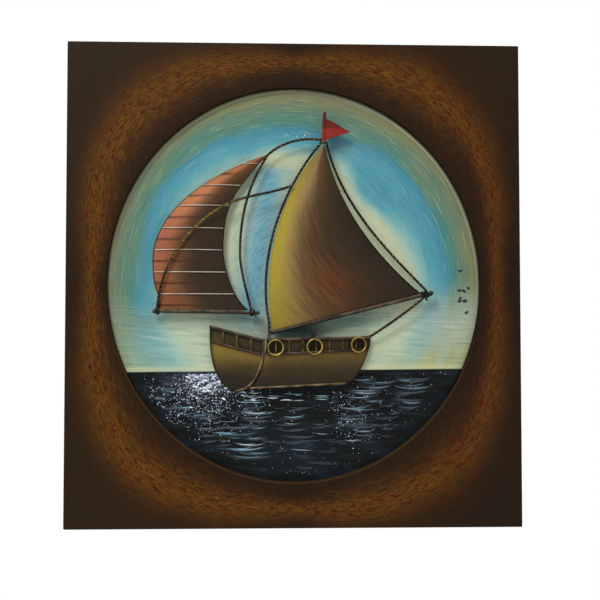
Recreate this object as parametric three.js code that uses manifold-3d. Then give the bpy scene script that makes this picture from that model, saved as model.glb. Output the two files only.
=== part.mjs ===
// Metal wall art: a folded sheet-metal panel with an oval window, a painted backdrop behind the window,
// and a small sailing boat of bent sheet, rods and stiff wire that stands in front of the backdrop.
// Millimetres, +Z up. The front faces -Y, the wall is the plane y = 0, and the origin is in the middle of
// the rear flange along the top edge, where the panel hangs.
import * as THREE from 'three';
import { mergeVertices } from 'three/addons/utils/BufferGeometryUtils.js';
import Module from 'manifold-3d';

const wasm = await Module();
wasm.setup();

// Driving dimensions of the panel
const PANEL_WIDTH = 600;
const PANEL_HEIGHT = 640;
const PANEL_DEPTH = 30;
const PANEL_SHEET = 1;
const FLANGE_WIDTH = 16;
const WINDOW_WIDTH = 492;
const WINDOW_HEIGHT = 520;
const WINDOW_STEPS = 64;
const RECESS = 10;
const BACKDROP_SHEET = 0.8;
const BACKDROP_LAP = 7;
const HANGING_HOLE = 7;
const HANGING_SPACING = 320;

// Driving dimensions of the boat, all measured from the middle of the panel and from the backdrop's face
const BOAT_SHEET = 0.8;
const MAIN_STAND_OFF = 18;
const MAIN_BELLY = 15;
const MIZZEN_STAND_OFF = 12;
const MIZZEN_BELLY = 7;
const RIDGE_STAND_OFF = 22;
const STERN_STAND_OFF = 8;
const BOW_STAND_OFF = 8;
const MAIN_BOOM_RADIUS = 2.4;
const MIZZEN_BOOM_RADIUS = 2;
const BOOM_BALL_RADIUS = 3.4;
const MIZZEN_BALL_RADIUS = 2.6;
const WIRE_RADIUS = 1.95;
const TIE_RADIUS = 1.5;
const BATTEN_RADIUS = 1.2;
const TOP_RAIL_RADIUS = 2;
const LOWER_RAIL_RADIUS = 1.6;
const ROLLED_EDGE_RADIUS = 1.7;
const RING_RADIUS = 9.8;
const RING_WIRE_RADIUS = 1.15;
const POST_WIDTH = 5;
const POST_THICKNESS = 2;
const TAB_WIDTH = 9;
const TAB_FOOT = 7;
const POLE_RADIUS = 2.3;
const BELLY_FULLNESS = 0.75;
const GAP = 0.3;
const OVERLAP = 0.4;

const PANEL_MIDDLE_Z = FLANGE_WIDTH / 2 - PANEL_HEIGHT / 2;
const BACKDROP_Y = RECESS - PANEL_DEPTH;
const FOLD_Y = PANEL_SHEET + GAP - PANEL_DEPTH;

// Finishes, by what the surface is
function finish(color, roughness, metalness) {
  return new THREE.MeshStandardMaterial({ color, roughness, metalness });
}
const BROWN_PAINT = finish(0x4a3016, 0.5, 0.2);
const SKY_PAINT = finish(0x7fa9a6, 0.6, 0.1);
const BRONZE_PAINT = finish(0x6b5128, 0.45, 0.5);
const TERRACOTTA_PAINT = finish(0x7c4632, 0.5, 0.4);
const RED_PAINT = finish(0x8f2620, 0.5, 0.1);
const DARK_ROD = finish(0x3a2a20, 0.4, 0.7);
const DARK_WIRE = finish(0x1d1712, 0.45, 0.7);
const BRASS = finish(0xb08d3c, 0.35, 0.9);

// Booleans on closed meshes
function solidOf(geometry) {
  const bare = geometry.clone();
  bare.deleteAttribute('normal');
  bare.deleteAttribute('uv');
  const merged = mergeVertices(bare, 1e-4);
  const mesh = new wasm.Mesh({
    numProp: 3,
    vertProperties: new Float32Array(merged.attributes.position.array),
    triVerts: new Uint32Array(merged.index.array),
  });
  return new wasm.Manifold(mesh);
}

function geometryOf(solid) {
  const mesh = solid.getMesh();
  const geometry = new THREE.BufferGeometry();
  geometry.setAttribute('position', new THREE.BufferAttribute(new Float32Array(mesh.vertProperties), 3));
  geometry.setIndex(new THREE.BufferAttribute(new Uint32Array(mesh.triVerts), 1));
  geometry.computeVertexNormals();
  return geometry;
}

const join = (first, ...others) =>
  geometryOf(others.reduce((whole, other) => whole.add(solidOf(other)), solidOf(first)));
const cut = (first, ...others) =>
  geometryOf(others.reduce((whole, other) => whole.subtract(solidOf(other)), solidOf(first)));

// Points and smooth lines of the boat, given as [x, z] or [x, z, stand-off]
const { lerp, clamp } = THREE.MathUtils;
const at = (x, z, standOff) => new THREE.Vector3(x, -standOff, z);

function line(points, standOff) {
  const path = new THREE.CurvePath();
  for (let i = 0; i + 3 < points.length; i += 3) {
    const piece = points.slice(i, i + 4).map(([x, z, own]) => at(x, z, own ?? standOff));
    path.add(new THREE.CubicBezierCurve3(...piece));
  }
  return path;
}

// Where a line that only rises or only falls reaches a height
function atHeight(path, z) {
  const rises = path.getPoint(1).z > path.getPoint(0).z;
  let low = 0;
  let high = 1;
  for (let step = 0; step < 24; step += 1) {
    const middle = (low + high) / 2;
    if ((path.getPoint(middle).z < z) === rises) low = middle;
    else high = middle;
  }
  return path.getPoint((low + high) / 2);
}

// A solid round rod or wire along a line
function rod(path, radius, steps, sides = 6) {
  const section = new THREE.Shape();
  section.absarc(0, 0, radius, 0, 2 * Math.PI);
  const round = new THREE.Shape(section.getSpacedPoints(sides).slice(0, sides));
  return new THREE.ExtrudeGeometry(round, { steps, extrudePath: path, bevelEnabled: false });
}

const rodThrough = (points, radius, steps, sides) =>
  rod(new THREE.CatmullRomCurve3(points), radius, steps, sides);

// A sheet of even thickness behind a grid of front points: rows run upwards, columns to the right
function sheet(rows, thickness) {
  const height = rows.length;
  const width = rows[0].length;
  const faceNormal = (j, i) => {
    const across = rows[j + 1][i + 1].clone().sub(rows[j][i]);
    const up = rows[j + 1][i].clone().sub(rows[j][i + 1]);
    return across.cross(up).normalize();
  };
  const behind = (j, i) => {
    const around = [];
    for (const dj of [-1, 0]) {
      for (const di of [-1, 0]) {
        const inside = j + dj >= 0 && j + dj < height - 1 && i + di >= 0 && i + di < width - 1;
        if (inside) around.push(faceNormal(j + dj, i + di));
      }
    }
    const normal = around.reduce((sum, n) => sum.add(n), new THREE.Vector3()).normalize();
    const spread = Math.max(0.6, Math.min(...around.map((n) => n.dot(normal))));
    return rows[j][i].clone().addScaledVector(normal, -thickness / spread);
  };
  const position = [];
  const front = (j, i) => j * width + i;
  const back = (j, i) => height * width + front(j, i);
  rows.forEach((row) => row.forEach((point) => position.push(...point.toArray())));
  rows.forEach((row, j) => row.forEach((point, i) => position.push(...behind(j, i).toArray())));
  const index = [];
  const quad = (a, b, c, d) => index.push(a, b, c, a, c, d);
  for (let j = 0; j < height - 1; j += 1) {
    for (let i = 0; i < width - 1; i += 1) {
      quad(front(j, i), front(j, i + 1), front(j + 1, i + 1), front(j + 1, i));
      quad(back(j, i), back(j + 1, i), back(j + 1, i + 1), back(j, i + 1));
    }
  }
  for (let i = 0; i < width - 1; i += 1) {
    quad(front(0, i), back(0, i), back(0, i + 1), front(0, i + 1));
    quad(front(height - 1, i), front(height - 1, i + 1), back(height - 1, i + 1), back(height - 1, i));
  }
  for (let j = 0; j < height - 1; j += 1) {
    quad(front(j, 0), front(j + 1, 0), back(j + 1, 0), back(j, 0));
    quad(front(j, width - 1), back(j, width - 1), back(j + 1, width - 1), front(j + 1, width - 1));
  }
  const geometry = new THREE.BufferGeometry();
  geometry.setAttribute('position', new THREE.Float32BufferAttribute(position, 3));
  geometry.setIndex(index);
  geometry.computeVertexNormals();
  return geometry;
}

// A patch between four lines: each is a function of 0 to 1, left and right upwards, bottom and top rightwards
function patch(left, right, bottom, top, columns, rows) {
  const grid = [];
  for (let j = 0; j <= rows; j += 1) {
    const v = j / rows;
    const row = [];
    for (let i = 0; i <= columns; i += 1) {
      const u = i / columns;
      const point = new THREE.Vector3();
      point.addScaledVector(left(v), 1 - u).addScaledVector(right(v), u);
      point.addScaledVector(bottom(u), 1 - v).addScaledVector(top(u), v);
      point.addScaledVector(bottom(0), -(1 - u) * (1 - v)).addScaledVector(bottom(1), -u * (1 - v));
      point.addScaledVector(top(0), -(1 - u) * v).addScaledVector(top(1), -u * v);
      row.push(point);
    }
    grid.push(row);
  }
  return grid;
}

const between = (a, b) => (t) => a.clone().lerp(b, t);
const upwards = (path) => (t) => path.getPoint(1 - t);

// A strip bent back from a sheet to the backdrop, with a flat foot on it
function tab(x, z, standOff) {
  const leg = new THREE.BoxGeometry(TAB_WIDTH, standOff - GAP, BOAT_SHEET);
  leg.translate(x, -(standOff + GAP) / 2, z);
  const foot = new THREE.BoxGeometry(TAB_WIDTH, BOAT_SHEET, TAB_FOOT);
  foot.translate(x, -GAP - BOAT_SHEET / 2, z + TAB_FOOT / 2 - BOAT_SHEET / 2);
  return join(leg, foot);
}

// Turns of wire tied round a rod, side by side along it
function tie(path, t, rodRadius, turns) {
  const along = path.getTangent(t);
  const middle = path.getPoint(t);
  const pitch = 2 * TIE_RADIUS - OVERLAP;
  const rings = [];
  for (let turn = 0; turn < turns; turn += 1) {
    const ring = new THREE.TorusGeometry(rodRadius + GAP + TIE_RADIUS, TIE_RADIUS, 6, 12);
    ring.applyQuaternion(new THREE.Quaternion().setFromUnitVectors(new THREE.Vector3(0, 0, 1), along));
    const place = middle.clone().addScaledVector(along, (turn - (turns - 1) / 2) * pitch);
    rings.push(ring.translate(place.x, place.y, place.z));
  }
  return rings;
}

function ball(centre, radius) {
  return new THREE.SphereGeometry(radius, 8, 6).translate(centre.x, centre.y, centre.z);
}

// Surround: a tray with a turned-back oval edge round the window and a rear flange with two hanging holes
function ovalShape(width, height) {
  const oval = new THREE.Shape();
  oval.absellipse(0, 0, width / 2, height / 2, 0, 2 * Math.PI);
  return new THREE.Shape(oval.getSpacedPoints(WINDOW_STEPS).slice(0, WINDOW_STEPS));
}

// An outline in the plane of the panel, drawn out from a front plane towards the wall
function plate(shape, frontY, depth) {
  const geometry = new THREE.ExtrudeGeometry(shape, { depth, bevelEnabled: false });
  geometry.rotateX(Math.PI / 2);
  return geometry.translate(0, frontY + depth, 0);
}

// The front sheet, parted from the rim and the frame along its folds
function surroundPanel() {
  const front = new THREE.BoxGeometry(PANEL_WIDTH, PANEL_SHEET, PANEL_HEIGHT);
  front.translate(0, PANEL_SHEET / 2 - PANEL_DEPTH, 0);
  const depth = PANEL_SHEET + 2 * OVERLAP;
  const window = plate(ovalShape(WINDOW_WIDTH, WINDOW_HEIGHT), -PANEL_DEPTH - OVERLAP, depth);
  return cut(front, window);
}

function windowRim() {
  const width = WINDOW_WIDTH + 2 * PANEL_SHEET;
  const height = WINDOW_HEIGHT + 2 * PANEL_SHEET;
  const depth = BACKDROP_Y - FOLD_Y - GAP;
  const collar = plate(ovalShape(width, height), FOLD_Y, depth);
  const window = plate(ovalShape(WINDOW_WIDTH, WINDOW_HEIGHT), FOLD_Y - OVERLAP, depth + 2 * OVERLAP);
  return cut(collar, window);
}

function surroundFrame() {
  const outside = new THREE.BoxGeometry(PANEL_WIDTH, -FOLD_Y, PANEL_HEIGHT);
  outside.translate(0, FOLD_Y / 2, 0);
  const inside = new THREE.BoxGeometry(
    PANEL_WIDTH - 2 * PANEL_SHEET, -FOLD_Y, PANEL_HEIGHT - 2 * PANEL_SHEET);
  inside.translate(0, FOLD_Y / 2 - PANEL_SHEET, 0);
  const rearMouth = new THREE.BoxGeometry(
    PANEL_WIDTH - 2 * FLANGE_WIDTH, 4 * PANEL_SHEET, PANEL_HEIGHT - 2 * FLANGE_WIDTH);
  const holes = [-1, 1].map((side) => {
    const hole = new THREE.CylinderGeometry(HANGING_HOLE / 2, HANGING_HOLE / 2, 4 * PANEL_SHEET, 16);
    return hole.translate(side * HANGING_SPACING / 2, 0, -PANEL_MIDDLE_Z);
  });
  return cut(outside, inside, rearMouth, ...holes);
}

function backdropDisc() {
  const lap = 2 * BACKDROP_LAP;
  return plate(ovalShape(WINDOW_WIDTH + lap, WINDOW_HEIGHT + lap), BACKDROP_Y, BACKDROP_SHEET);
}

// Where a wire meets the turns that tie it to a rod: up and forward say which side of the rod that is
function tieEnd(path, t, rodRadius, up, forward) {
  const { x, y, z } = path.getPoint(t);
  const reach = rodRadius + GAP + TIE_RADIUS;
  return [x, z + up * reach, -y + forward * reach];
}

// Main sail, its boom and the wires along its edges
const mainBoomLine = line([[-31, -65], [39, -47.6], [109, -30.2], [179, -12.8]], MAIN_STAND_OFF);
const BOOM_SIDES = 8;
const FOOT_FROM = 0.01;
const FOOT_TO = 0.935;
const mainFoot = (u) => {
  const point = mainBoomLine.getPoint(lerp(FOOT_FROM, FOOT_TO, u));
  return point.add(new THREE.Vector3(0, 0, MAIN_BOOM_RADIUS + 2 * GAP));
};
const flat = (point) => [point.x, point.z];
const mainLuffEdge = line([[37.4, 182.3], [-22.7, 116.9], [-44.7, 22.3], flat(mainFoot(0))], MAIN_STAND_OFF);
const mainLeechEdge = line([[39.4, 182.3], [55, 103.4], [104.9, 37.4], flat(mainFoot(1))], MAIN_STAND_OFF);

// A sheet with strips bent back from some of its grid points, given as [row, column]
function sheetWithTabs(rows, tabPlaces) {
  const tabs = tabPlaces.map(([j, i]) => tab(rows[j][i].x, rows[j][i].z, -rows[j][i].y - OVERLAP));
  return join(sheet(rows, BOAT_SHEET), ...tabs);
}

// How full a sail is at a place: nothing at its edges, one in its middle
function fullness(across, along) {
  return Math.sin(Math.PI * across) * Math.sin(Math.PI * along) ** BELLY_FULLNESS;
}

const MAIN_COLUMNS = 13;
const MAIN_ROWS = 15;
const MAIN_TABS = [[10, 4], [4, 8]];

function mainSail() {
  const head = between(mainLuffEdge.getPoint(0), mainLeechEdge.getPoint(0));
  const rows = patch(upwards(mainLuffEdge), upwards(mainLeechEdge), mainFoot, head, MAIN_COLUMNS, MAIN_ROWS);
  rows.forEach((row, j) => row.forEach((point, i) => {
    point.y -= MAIN_BELLY * fullness(i / MAIN_COLUMNS, j / MAIN_ROWS);
  }));
  return sheetWithTabs(rows, MAIN_TABS);
}

function mainBoom() {
  const end = ball(mainBoomLine.getPoint(1), BOOM_BALL_RADIUS);
  return join(rod(mainBoomLine, MAIN_BOOM_RADIUS, 14, BOOM_SIDES), end);
}

const LEECH_TIE = 0.974;
const SHEET_TIE = 0.95;
const mainLuffWireLine = line([
  [34.6, 185.6], [-22, 117.5], [-49, 28.3], [-34, -50],
  [-33.4, -57, 20], [-33, -64, 24], [-34, -71.4, 24.9],
], MAIN_STAND_OFF);
const mainLeechWireLine = line([
  [41.2, 186.6], [59.5, 106], [116.5, 47.5], tieEnd(mainBoomLine, LEECH_TIE, MAIN_BOOM_RADIUS, 1, 0),
], MAIN_STAND_OFF);
const mainSheetLine = line([
  tieEnd(mainBoomLine, SHEET_TIE, MAIN_BOOM_RADIUS, -1, 0),
  [149, -36, 18], [124, -54, 15], [98.9, -69.9, 11.9],
], MAIN_STAND_OFF);

// Mizzen sail: a belly as a function of place, so that the battens lie on it
const mizzenBoomLine = line([[-184, -36.7], [-138, -37.4], [-94, -38], [-48.5, -38.7]], MIZZEN_STAND_OFF);
const MIZZEN_FOOT_Z = -34;
const MIZZEN_TIP_Z = 169.5;
const mizzenLeft = line([
  [-38.4, MIZZEN_TIP_Z], [-96.4, 151.2], [-186.3, 102.9], [-186.3, 29.9], [-186.3, -16.1], [-176.8, -2.2],
  [-177.8, MIZZEN_FOOT_Z],
], MIZZEN_STAND_OFF);
const mizzenRight = line([
  [-39, 167.4], [-77.4, 122.5], [-94, 106.1], [-94, 45.1], [-94, 21.6], [-81.1, -22.8],
  [-60.6, MIZZEN_FOOT_Z - 1],
], MIZZEN_STAND_OFF);

function mizzenFace(x, z) {
  const left = atHeight(mizzenLeft, z).x;
  const right = atHeight(mizzenRight, z).x;
  const across = clamp((x - left) / Math.max(right - left, 1), 0, 1);
  const along = clamp((z - MIZZEN_FOOT_Z) / (MIZZEN_TIP_Z - MIZZEN_FOOT_Z), 0, 1);
  return at(x, z, MIZZEN_STAND_OFF + MIZZEN_BELLY * fullness(across, along));
}

const MIZZEN_COLUMNS = 10;
const MIZZEN_ROWS = 16;
const MIZZEN_TABS = [[11, 5], [3, 5]];

function mizzenSail() {
  const foot = between(mizzenLeft.getPoint(1), mizzenRight.getPoint(1));
  const tip = between(mizzenLeft.getPoint(0), mizzenRight.getPoint(0));
  const rows = patch(upwards(mizzenLeft), upwards(mizzenRight), foot, tip, MIZZEN_COLUMNS, MIZZEN_ROWS);
  const bellied = rows.map((row) => row.map(({ x, z }) => mizzenFace(x, z)));
  return sheetWithTabs(bellied, MIZZEN_TABS);
}

function mizzenBoom() {
  const ends = [0, 1].map((t) => ball(mizzenBoomLine.getPoint(t), MIZZEN_BALL_RADIUS));
  return join(rod(mizzenBoomLine, MIZZEN_BOOM_RADIUS, 2, BOOM_SIDES), ...ends);
}

const MIZZEN_BATTEN_HEIGHTS = [158, 129, 102, 72.4, 43.7, 14.6, -14];
const MIZZEN_BATTEN_INSET = 2;
const MIZZEN_BATTEN_STEPS = 10;
const BATTEN_LIFT = BATTEN_RADIUS + 1.5 * GAP;

function mizzenBatten(z) {
  const left = atHeight(mizzenLeft, z).x + MIZZEN_BATTEN_INSET;
  const right = atHeight(mizzenRight, z).x - MIZZEN_BATTEN_INSET;
  const points = [];
  for (let step = 0; step <= MIZZEN_BATTEN_STEPS; step += 1) {
    const point = mizzenFace(lerp(left, right, step / MIZZEN_BATTEN_STEPS), z);
    point.y -= BATTEN_LIFT;
    points.push(point);
  }
  return rodThrough(points, BATTEN_RADIUS, 8, 5);
}

const LUFF_TIE = 0.945;
const BRACE_TIE = 0.031;
const mizzenLuffWireLine = line([
  [34.4, 189.4, 18], [10.2, 193.2, 17], [-17.1, 186.9, 15.6], [-36, 169.1, 14.8],
  [-62.4, 127.8, 14.2], [-71.9, 88.1, 14], [-71.9, 39.5, 14],
  [-71.9, 18, 14], [-62.2, -15, 14],
  tieEnd(mizzenBoomLine, LUFF_TIE, MIZZEN_BOOM_RADIUS, 0, 1),
], MIZZEN_STAND_OFF);
const mizzenBraceLine = line([
  [-5, 127.4, 22.4], [-36, 115.6, 22.4], [-71.6, 114.8, 24], [-98.6, 97.8, 24.8],
  [-145, 70.1, 26], [-176.5, 19.5, 22],
  tieEnd(mizzenBoomLine, BRACE_TIE, MIZZEN_BOOM_RADIUS, 0, 1),
], MIZZEN_STAND_OFF);

// Pennant: pole and triangle in one, with a strip bent back
const poleLine = line([[37.2, 188.2], [37.8, 200], [38.6, 212], [39.3, 224.6]], MAIN_STAND_OFF);
const FLAG_CORNERS = [[38.5, 219], [72.4, 200.4], [38.5, 189.2]];
const FLAG_TAB = [50, 202];

function pennant() {
  const pole = rod(poleLine, POLE_RADIUS, 1, BOOM_SIDES);
  const triangle = new THREE.Shape(FLAG_CORNERS.map(([x, z]) => new THREE.Vector2(x, z)));
  const flag = plate(triangle, -MAIN_STAND_OFF - BOAT_SHEET / 2, BOAT_SHEET);
  return join(pole, flag, tab(...FLAG_TAB, MAIN_STAND_OFF));
}

// Hull: how far its two sheets stand off, as functions of place
const KEEL_Z = -141;
const DECK_Z = -70;
const RIDGE_X = -40;
const BOW_X = 100;
const SWELL = 3;
const CROWN = 2.5;
const KEEL_SHARE = 0.62;
const BOW_TURN = 2.2;
const transomLeft = line([[-111.3, -55.3], [-113.1, -84.4], [-110.3, -127.9], [-81.4, KEEL_Z]], 0);
const transomRight = line([[-40.5, -73.6], [-41.7, -102.2], [-47.2, -138.2], [-77.4, KEEL_Z]], 0);

function flare(z) {
  const rise = clamp((z - KEEL_Z) / (DECK_Z - KEEL_Z), 0, 1);
  return lerp(KEEL_SHARE, 1, Math.sin(rise * Math.PI / 2));
}

function transomFace(x, z) {
  const left = atHeight(transomLeft, z).x;
  const right = atHeight(transomRight, z).x;
  const across = clamp((x - left) / Math.max(right - left, 1), 0, 1);
  const crown = CROWN * 4 * across * (1 - across);
  return at(x, z, (lerp(STERN_STAND_OFF, RIDGE_STAND_OFF, across) + crown) * flare(z));
}

function sideFace(x, z) {
  const along = clamp((x - RIDGE_X) / (BOW_X - RIDGE_X), 0, 1);
  const breadth = lerp(RIDGE_STAND_OFF, BOW_STAND_OFF, along ** BOW_TURN);
  return at(x, z, (breadth + SWELL * Math.sin(Math.PI * along)) * flare(z));
}

// The turned-back edge of a hull sheet: the same line, down on the backdrop
const turnedBack = ({ x, z }) => at(x, z, GAP);

const RIM_STEPS = 14;

function transom() {
  const foot = between(transomLeft.getPoint(1), transomRight.getPoint(1));
  const top = between(transomLeft.getPoint(0), transomRight.getPoint(0));
  const rows = patch(upwards(transomLeft), upwards(transomRight), foot, top, 8, 11);
  const bent = rows.map((row) => [turnedBack(row[0]), ...row.map(({ x, z }) => transomFace(x, z))]);
  const rim = [];
  for (let step = 0; step <= RIM_STEPS; step += 1) {
    const { x, z } = transomRight.getPoint(step / RIM_STEPS);
    rim.push(transomFace(x, z));
  }
  return join(sheet(bent, BOAT_SHEET), rodThrough(rim, ROLLED_EDGE_RADIUS, 12));
}

const sideStern = line([[-36.8, -72.6], [-38, -102.2], [-44.5, -131], [-61, -137.4]], 0);
const sideBottom = line([
  [-61, -137.4], [-18, -135.3], [26, -133.2], [68.7, -131.1], [82.8, -131.9], [103.4, -82.2], [99.9, -71],
], 0);
const sideTop = line([[-36.8, -72.6], [0, -74.5], [60, -73], [98.6, -68.6]], 0);

const KEEL_ROD = [[-57, -137.2], [66, -131.2]];
const KEEL_STEPS = 6;

// Points on a hull sheet along a straight line from one [x, z] to another, lifted off it
function pointsOn(face, [from, to], steps, lift) {
  const points = [];
  for (let step = 0; step <= steps; step += 1) {
    const point = face(lerp(from[0], to[0], step / steps), lerp(from[1], to[1], step / steps));
    point.y -= lift;
    points.push(point);
  }
  return points;
}

function hullSide() {
  const stem = between(sideBottom.getPoint(1), sideTop.getPoint(1));
  const bottom = (t) => sideBottom.getPoint(t);
  const top = (t) => sideTop.getPoint(t);
  const rows = patch(upwards(sideStern), stem, bottom, top, 16, 8);
  const bent = [rows[0].map(turnedBack), ...rows.map((row) => row.map(({ x, z }) => sideFace(x, z)))];
  const keel = rodThrough(pointsOn(sideFace, KEEL_ROD, KEEL_STEPS, 0), ROLLED_EDGE_RADIUS, KEEL_STEPS - 1);
  return join(sheet(bent, BOAT_SHEET), keel);
}

// Rods that lie on the hull
const RAIL_STEPS = 8;

function rail(face, ends, radius) {
  return rodThrough(pointsOn(face, ends, RAIL_STEPS, radius + 2 * GAP), radius, RAIL_STEPS);
}

const TRANSOM_TOP = [[-110, -57.4], [-43, -74.6]];
const TRANSOM_LOWER = [[-109, -76.4], [-45.6, -93]];
const SIDE_TOP = [[-35.6, -74], [97, -71.2]];
const SIDE_LOWER = [[-34.6, -93.2], [92, -87]];
const TRANSOM_BATTENS = [-93.7, -75.9, -57.5];
const SIDE_BATTENS = [-25, -7.5, 10, 27.5, 45, 62.5, 80];

const heightOn = ([from, to], x) => lerp(from[1], to[1], (x - from[0]) / (to[0] - from[0]));

function hullBatten(face, lower, upper, x) {
  const bottom = heightOn(lower, x) + LOWER_RAIL_RADIUS + 2 * GAP;
  const top = heightOn(upper, x) - TOP_RAIL_RADIUS - 2 * GAP;
  return rodThrough(pointsOn(face, [[x, bottom], [x, top]], 2, BATTEN_LIFT), BATTEN_RADIUS, 2);
}

const RING_PLACES = [[-25.1, -83.9], [24.9, -82.8], [81.9, -80.4]];
const RING_LIFT = 2 * TOP_RAIL_RADIUS + RING_WIRE_RADIUS + 4 * GAP;

function portholeRing(name, [x, z]) {
  const ring = new THREE.Mesh(new THREE.TorusGeometry(RING_RADIUS, RING_WIRE_RADIUS, 6, 20), BRASS);
  const centre = sideFace(x, z);
  const across = sideFace(x + 1, z).sub(sideFace(x - 1, z));
  const up = sideFace(x, z + 1).sub(sideFace(x, z - 1));
  const outward = across.cross(up).normalize();
  ring.position.copy(centre).addScaledVector(outward, RING_LIFT);
  ring.quaternion.setFromUnitVectors(new THREE.Vector3(0, 0, 1), outward);
  ring.name = name;
  return ring;
}

// The post runs from under the main boom to the back of the hull side
const POST_X = 24.3;
const POST_FOOT_Z = -82;

function boomPost() {
  const boom = new THREE.Vector3();
  for (let t = 0; t < 1 && boom.x < POST_X; t += 0.002) boom.copy(mainBoomLine.getPoint(t));
  const top = at(POST_X, boom.z - MAIN_BOOM_RADIUS - 3 * GAP, MAIN_STAND_OFF);
  const foot = sideFace(POST_X, POST_FOOT_Z);
  foot.y += BOAT_SHEET + POST_THICKNESS / 2 + 2 * GAP;
  const length = top.distanceTo(foot);
  const bar = new THREE.BoxGeometry(POST_WIDTH, POST_THICKNESS, length);
  bar.applyQuaternion(new THREE.Quaternion().setFromUnitVectors(
    new THREE.Vector3(0, 0, 1), top.clone().sub(foot).normalize()));
  const middle = top.clone().add(foot).multiplyScalar(0.5);
  return bar.translate(middle.x, middle.y, middle.z);
}

// The whole object
const art = new THREE.Group();
art.position.z = PANEL_MIDDLE_Z;
const boat = new THREE.Group();
boat.position.y = BACKDROP_Y;
art.add(boat);

function add(group, name, geometry, material) {
  const mesh = new THREE.Mesh(geometry, material);
  mesh.name = name;
  group.add(mesh);
}

add(art, 'surround_panel', surroundPanel(), BROWN_PAINT);
add(art, 'window_rim', windowRim(), BROWN_PAINT);
add(art, 'surround_frame', surroundFrame(), BROWN_PAINT);
add(art, 'backdrop_disc', backdropDisc(), SKY_PAINT);
add(boat, 'main_sail', mainSail(), BRONZE_PAINT);
add(boat, 'main_boom', mainBoom(), DARK_ROD);
add(boat, 'boom_post', boomPost(), DARK_ROD);
add(boat, 'mizzen_sail', mizzenSail(), TERRACOTTA_PAINT);
MIZZEN_BATTEN_HEIGHTS.forEach((z, k) => add(boat, `mizzen_batten_${k + 1}`, mizzenBatten(z), BRASS));
add(boat, 'mizzen_boom', mizzenBoom(), DARK_ROD);
add(boat, 'pennant', pennant(), RED_PAINT);
add(boat, 'transom', transom(), BRONZE_PAINT);
add(boat, 'hull_side', hullSide(), BRONZE_PAINT);
add(boat, 'transom_top_rail', rail(transomFace, TRANSOM_TOP, TOP_RAIL_RADIUS), DARK_ROD);
add(boat, 'transom_lower_rail', rail(transomFace, TRANSOM_LOWER, LOWER_RAIL_RADIUS), DARK_ROD);
add(boat, 'side_top_rail', rail(sideFace, SIDE_TOP, TOP_RAIL_RADIUS), DARK_ROD);
add(boat, 'side_lower_rail', rail(sideFace, SIDE_LOWER, LOWER_RAIL_RADIUS), DARK_ROD);
TRANSOM_BATTENS.forEach((x, k) =>
  add(boat, `transom_batten_${k + 1}`, hullBatten(transomFace, TRANSOM_LOWER, TRANSOM_TOP, x), BRASS));
SIDE_BATTENS.forEach((x, k) =>
  add(boat, `side_batten_${k + 1}`, hullBatten(sideFace, SIDE_LOWER, SIDE_TOP, x), BRASS));
RING_PLACES.forEach((place, k) => boat.add(portholeRing(`porthole_ring_${k + 1}`, place)));

// Wires, with the turns that tie them to the booms
function addWire(name, path, steps, ties = []) {
  add(boat, name, join(rod(path, WIRE_RADIUS, steps), ...ties), DARK_WIRE);
}

addWire('main_luff_wire', mainLuffWireLine, 24);
addWire('main_leech_wire', mainLeechWireLine, 18, tie(mainBoomLine, LEECH_TIE, MAIN_BOOM_RADIUS, 1));
addWire('main_sheet_wire', mainSheetLine, 6, tie(mainBoomLine, SHEET_TIE, MAIN_BOOM_RADIUS, 1));
addWire('mizzen_luff_wire', mizzenLuffWireLine, 28, tie(mizzenBoomLine, LUFF_TIE, MIZZEN_BOOM_RADIUS, 2));
addWire('mizzen_brace_wire', mizzenBraceLine, 22, tie(mizzenBoomLine, BRACE_TIE, MIZZEN_BOOM_RADIUS, 1));

export default art;
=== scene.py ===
"""Looks of a metal wall art panel: a brown tray with an oval window, a painted sea and sky behind it, and
a small sailing boat of bent sheet, rods and twisted wire. Sizes are in millimetres."""
import math
import random
from bisect import bisect_right

import bpy
from mathutils import Matrix, Vector, noise

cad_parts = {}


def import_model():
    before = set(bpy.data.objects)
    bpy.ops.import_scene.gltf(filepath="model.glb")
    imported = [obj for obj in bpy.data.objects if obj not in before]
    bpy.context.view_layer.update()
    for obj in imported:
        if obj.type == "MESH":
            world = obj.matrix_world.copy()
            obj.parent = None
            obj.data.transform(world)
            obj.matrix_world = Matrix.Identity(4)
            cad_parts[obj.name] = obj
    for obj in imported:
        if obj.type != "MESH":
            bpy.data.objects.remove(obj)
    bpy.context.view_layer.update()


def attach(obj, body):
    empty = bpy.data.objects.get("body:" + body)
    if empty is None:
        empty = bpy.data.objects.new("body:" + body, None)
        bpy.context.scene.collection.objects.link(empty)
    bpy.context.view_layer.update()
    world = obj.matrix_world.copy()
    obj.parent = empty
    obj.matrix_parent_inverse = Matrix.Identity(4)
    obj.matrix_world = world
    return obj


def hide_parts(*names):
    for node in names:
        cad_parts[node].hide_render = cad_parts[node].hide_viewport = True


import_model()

# Sizes of the panel
MM = 0.001
PANEL_WIDTH = 600
PANEL_HEIGHT = 640
PANEL_DEPTH = 30
PANEL_SHEET = 1
PANEL_MIDDLE_Z = -312
FLANGE_WIDTH = 16
FOLD_RADIUS = 1.6
WINDOW_WIDTH = 492
WINDOW_HEIGHT = 520
RECESS = 10
BACKDROP_SHEET = 0.8
BACKDROP_LAP = 7
BACKDROP_Y = RECESS - PANEL_DEPTH
HANGING_HOLE = 7
HANGING_SPACING = 320

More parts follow.
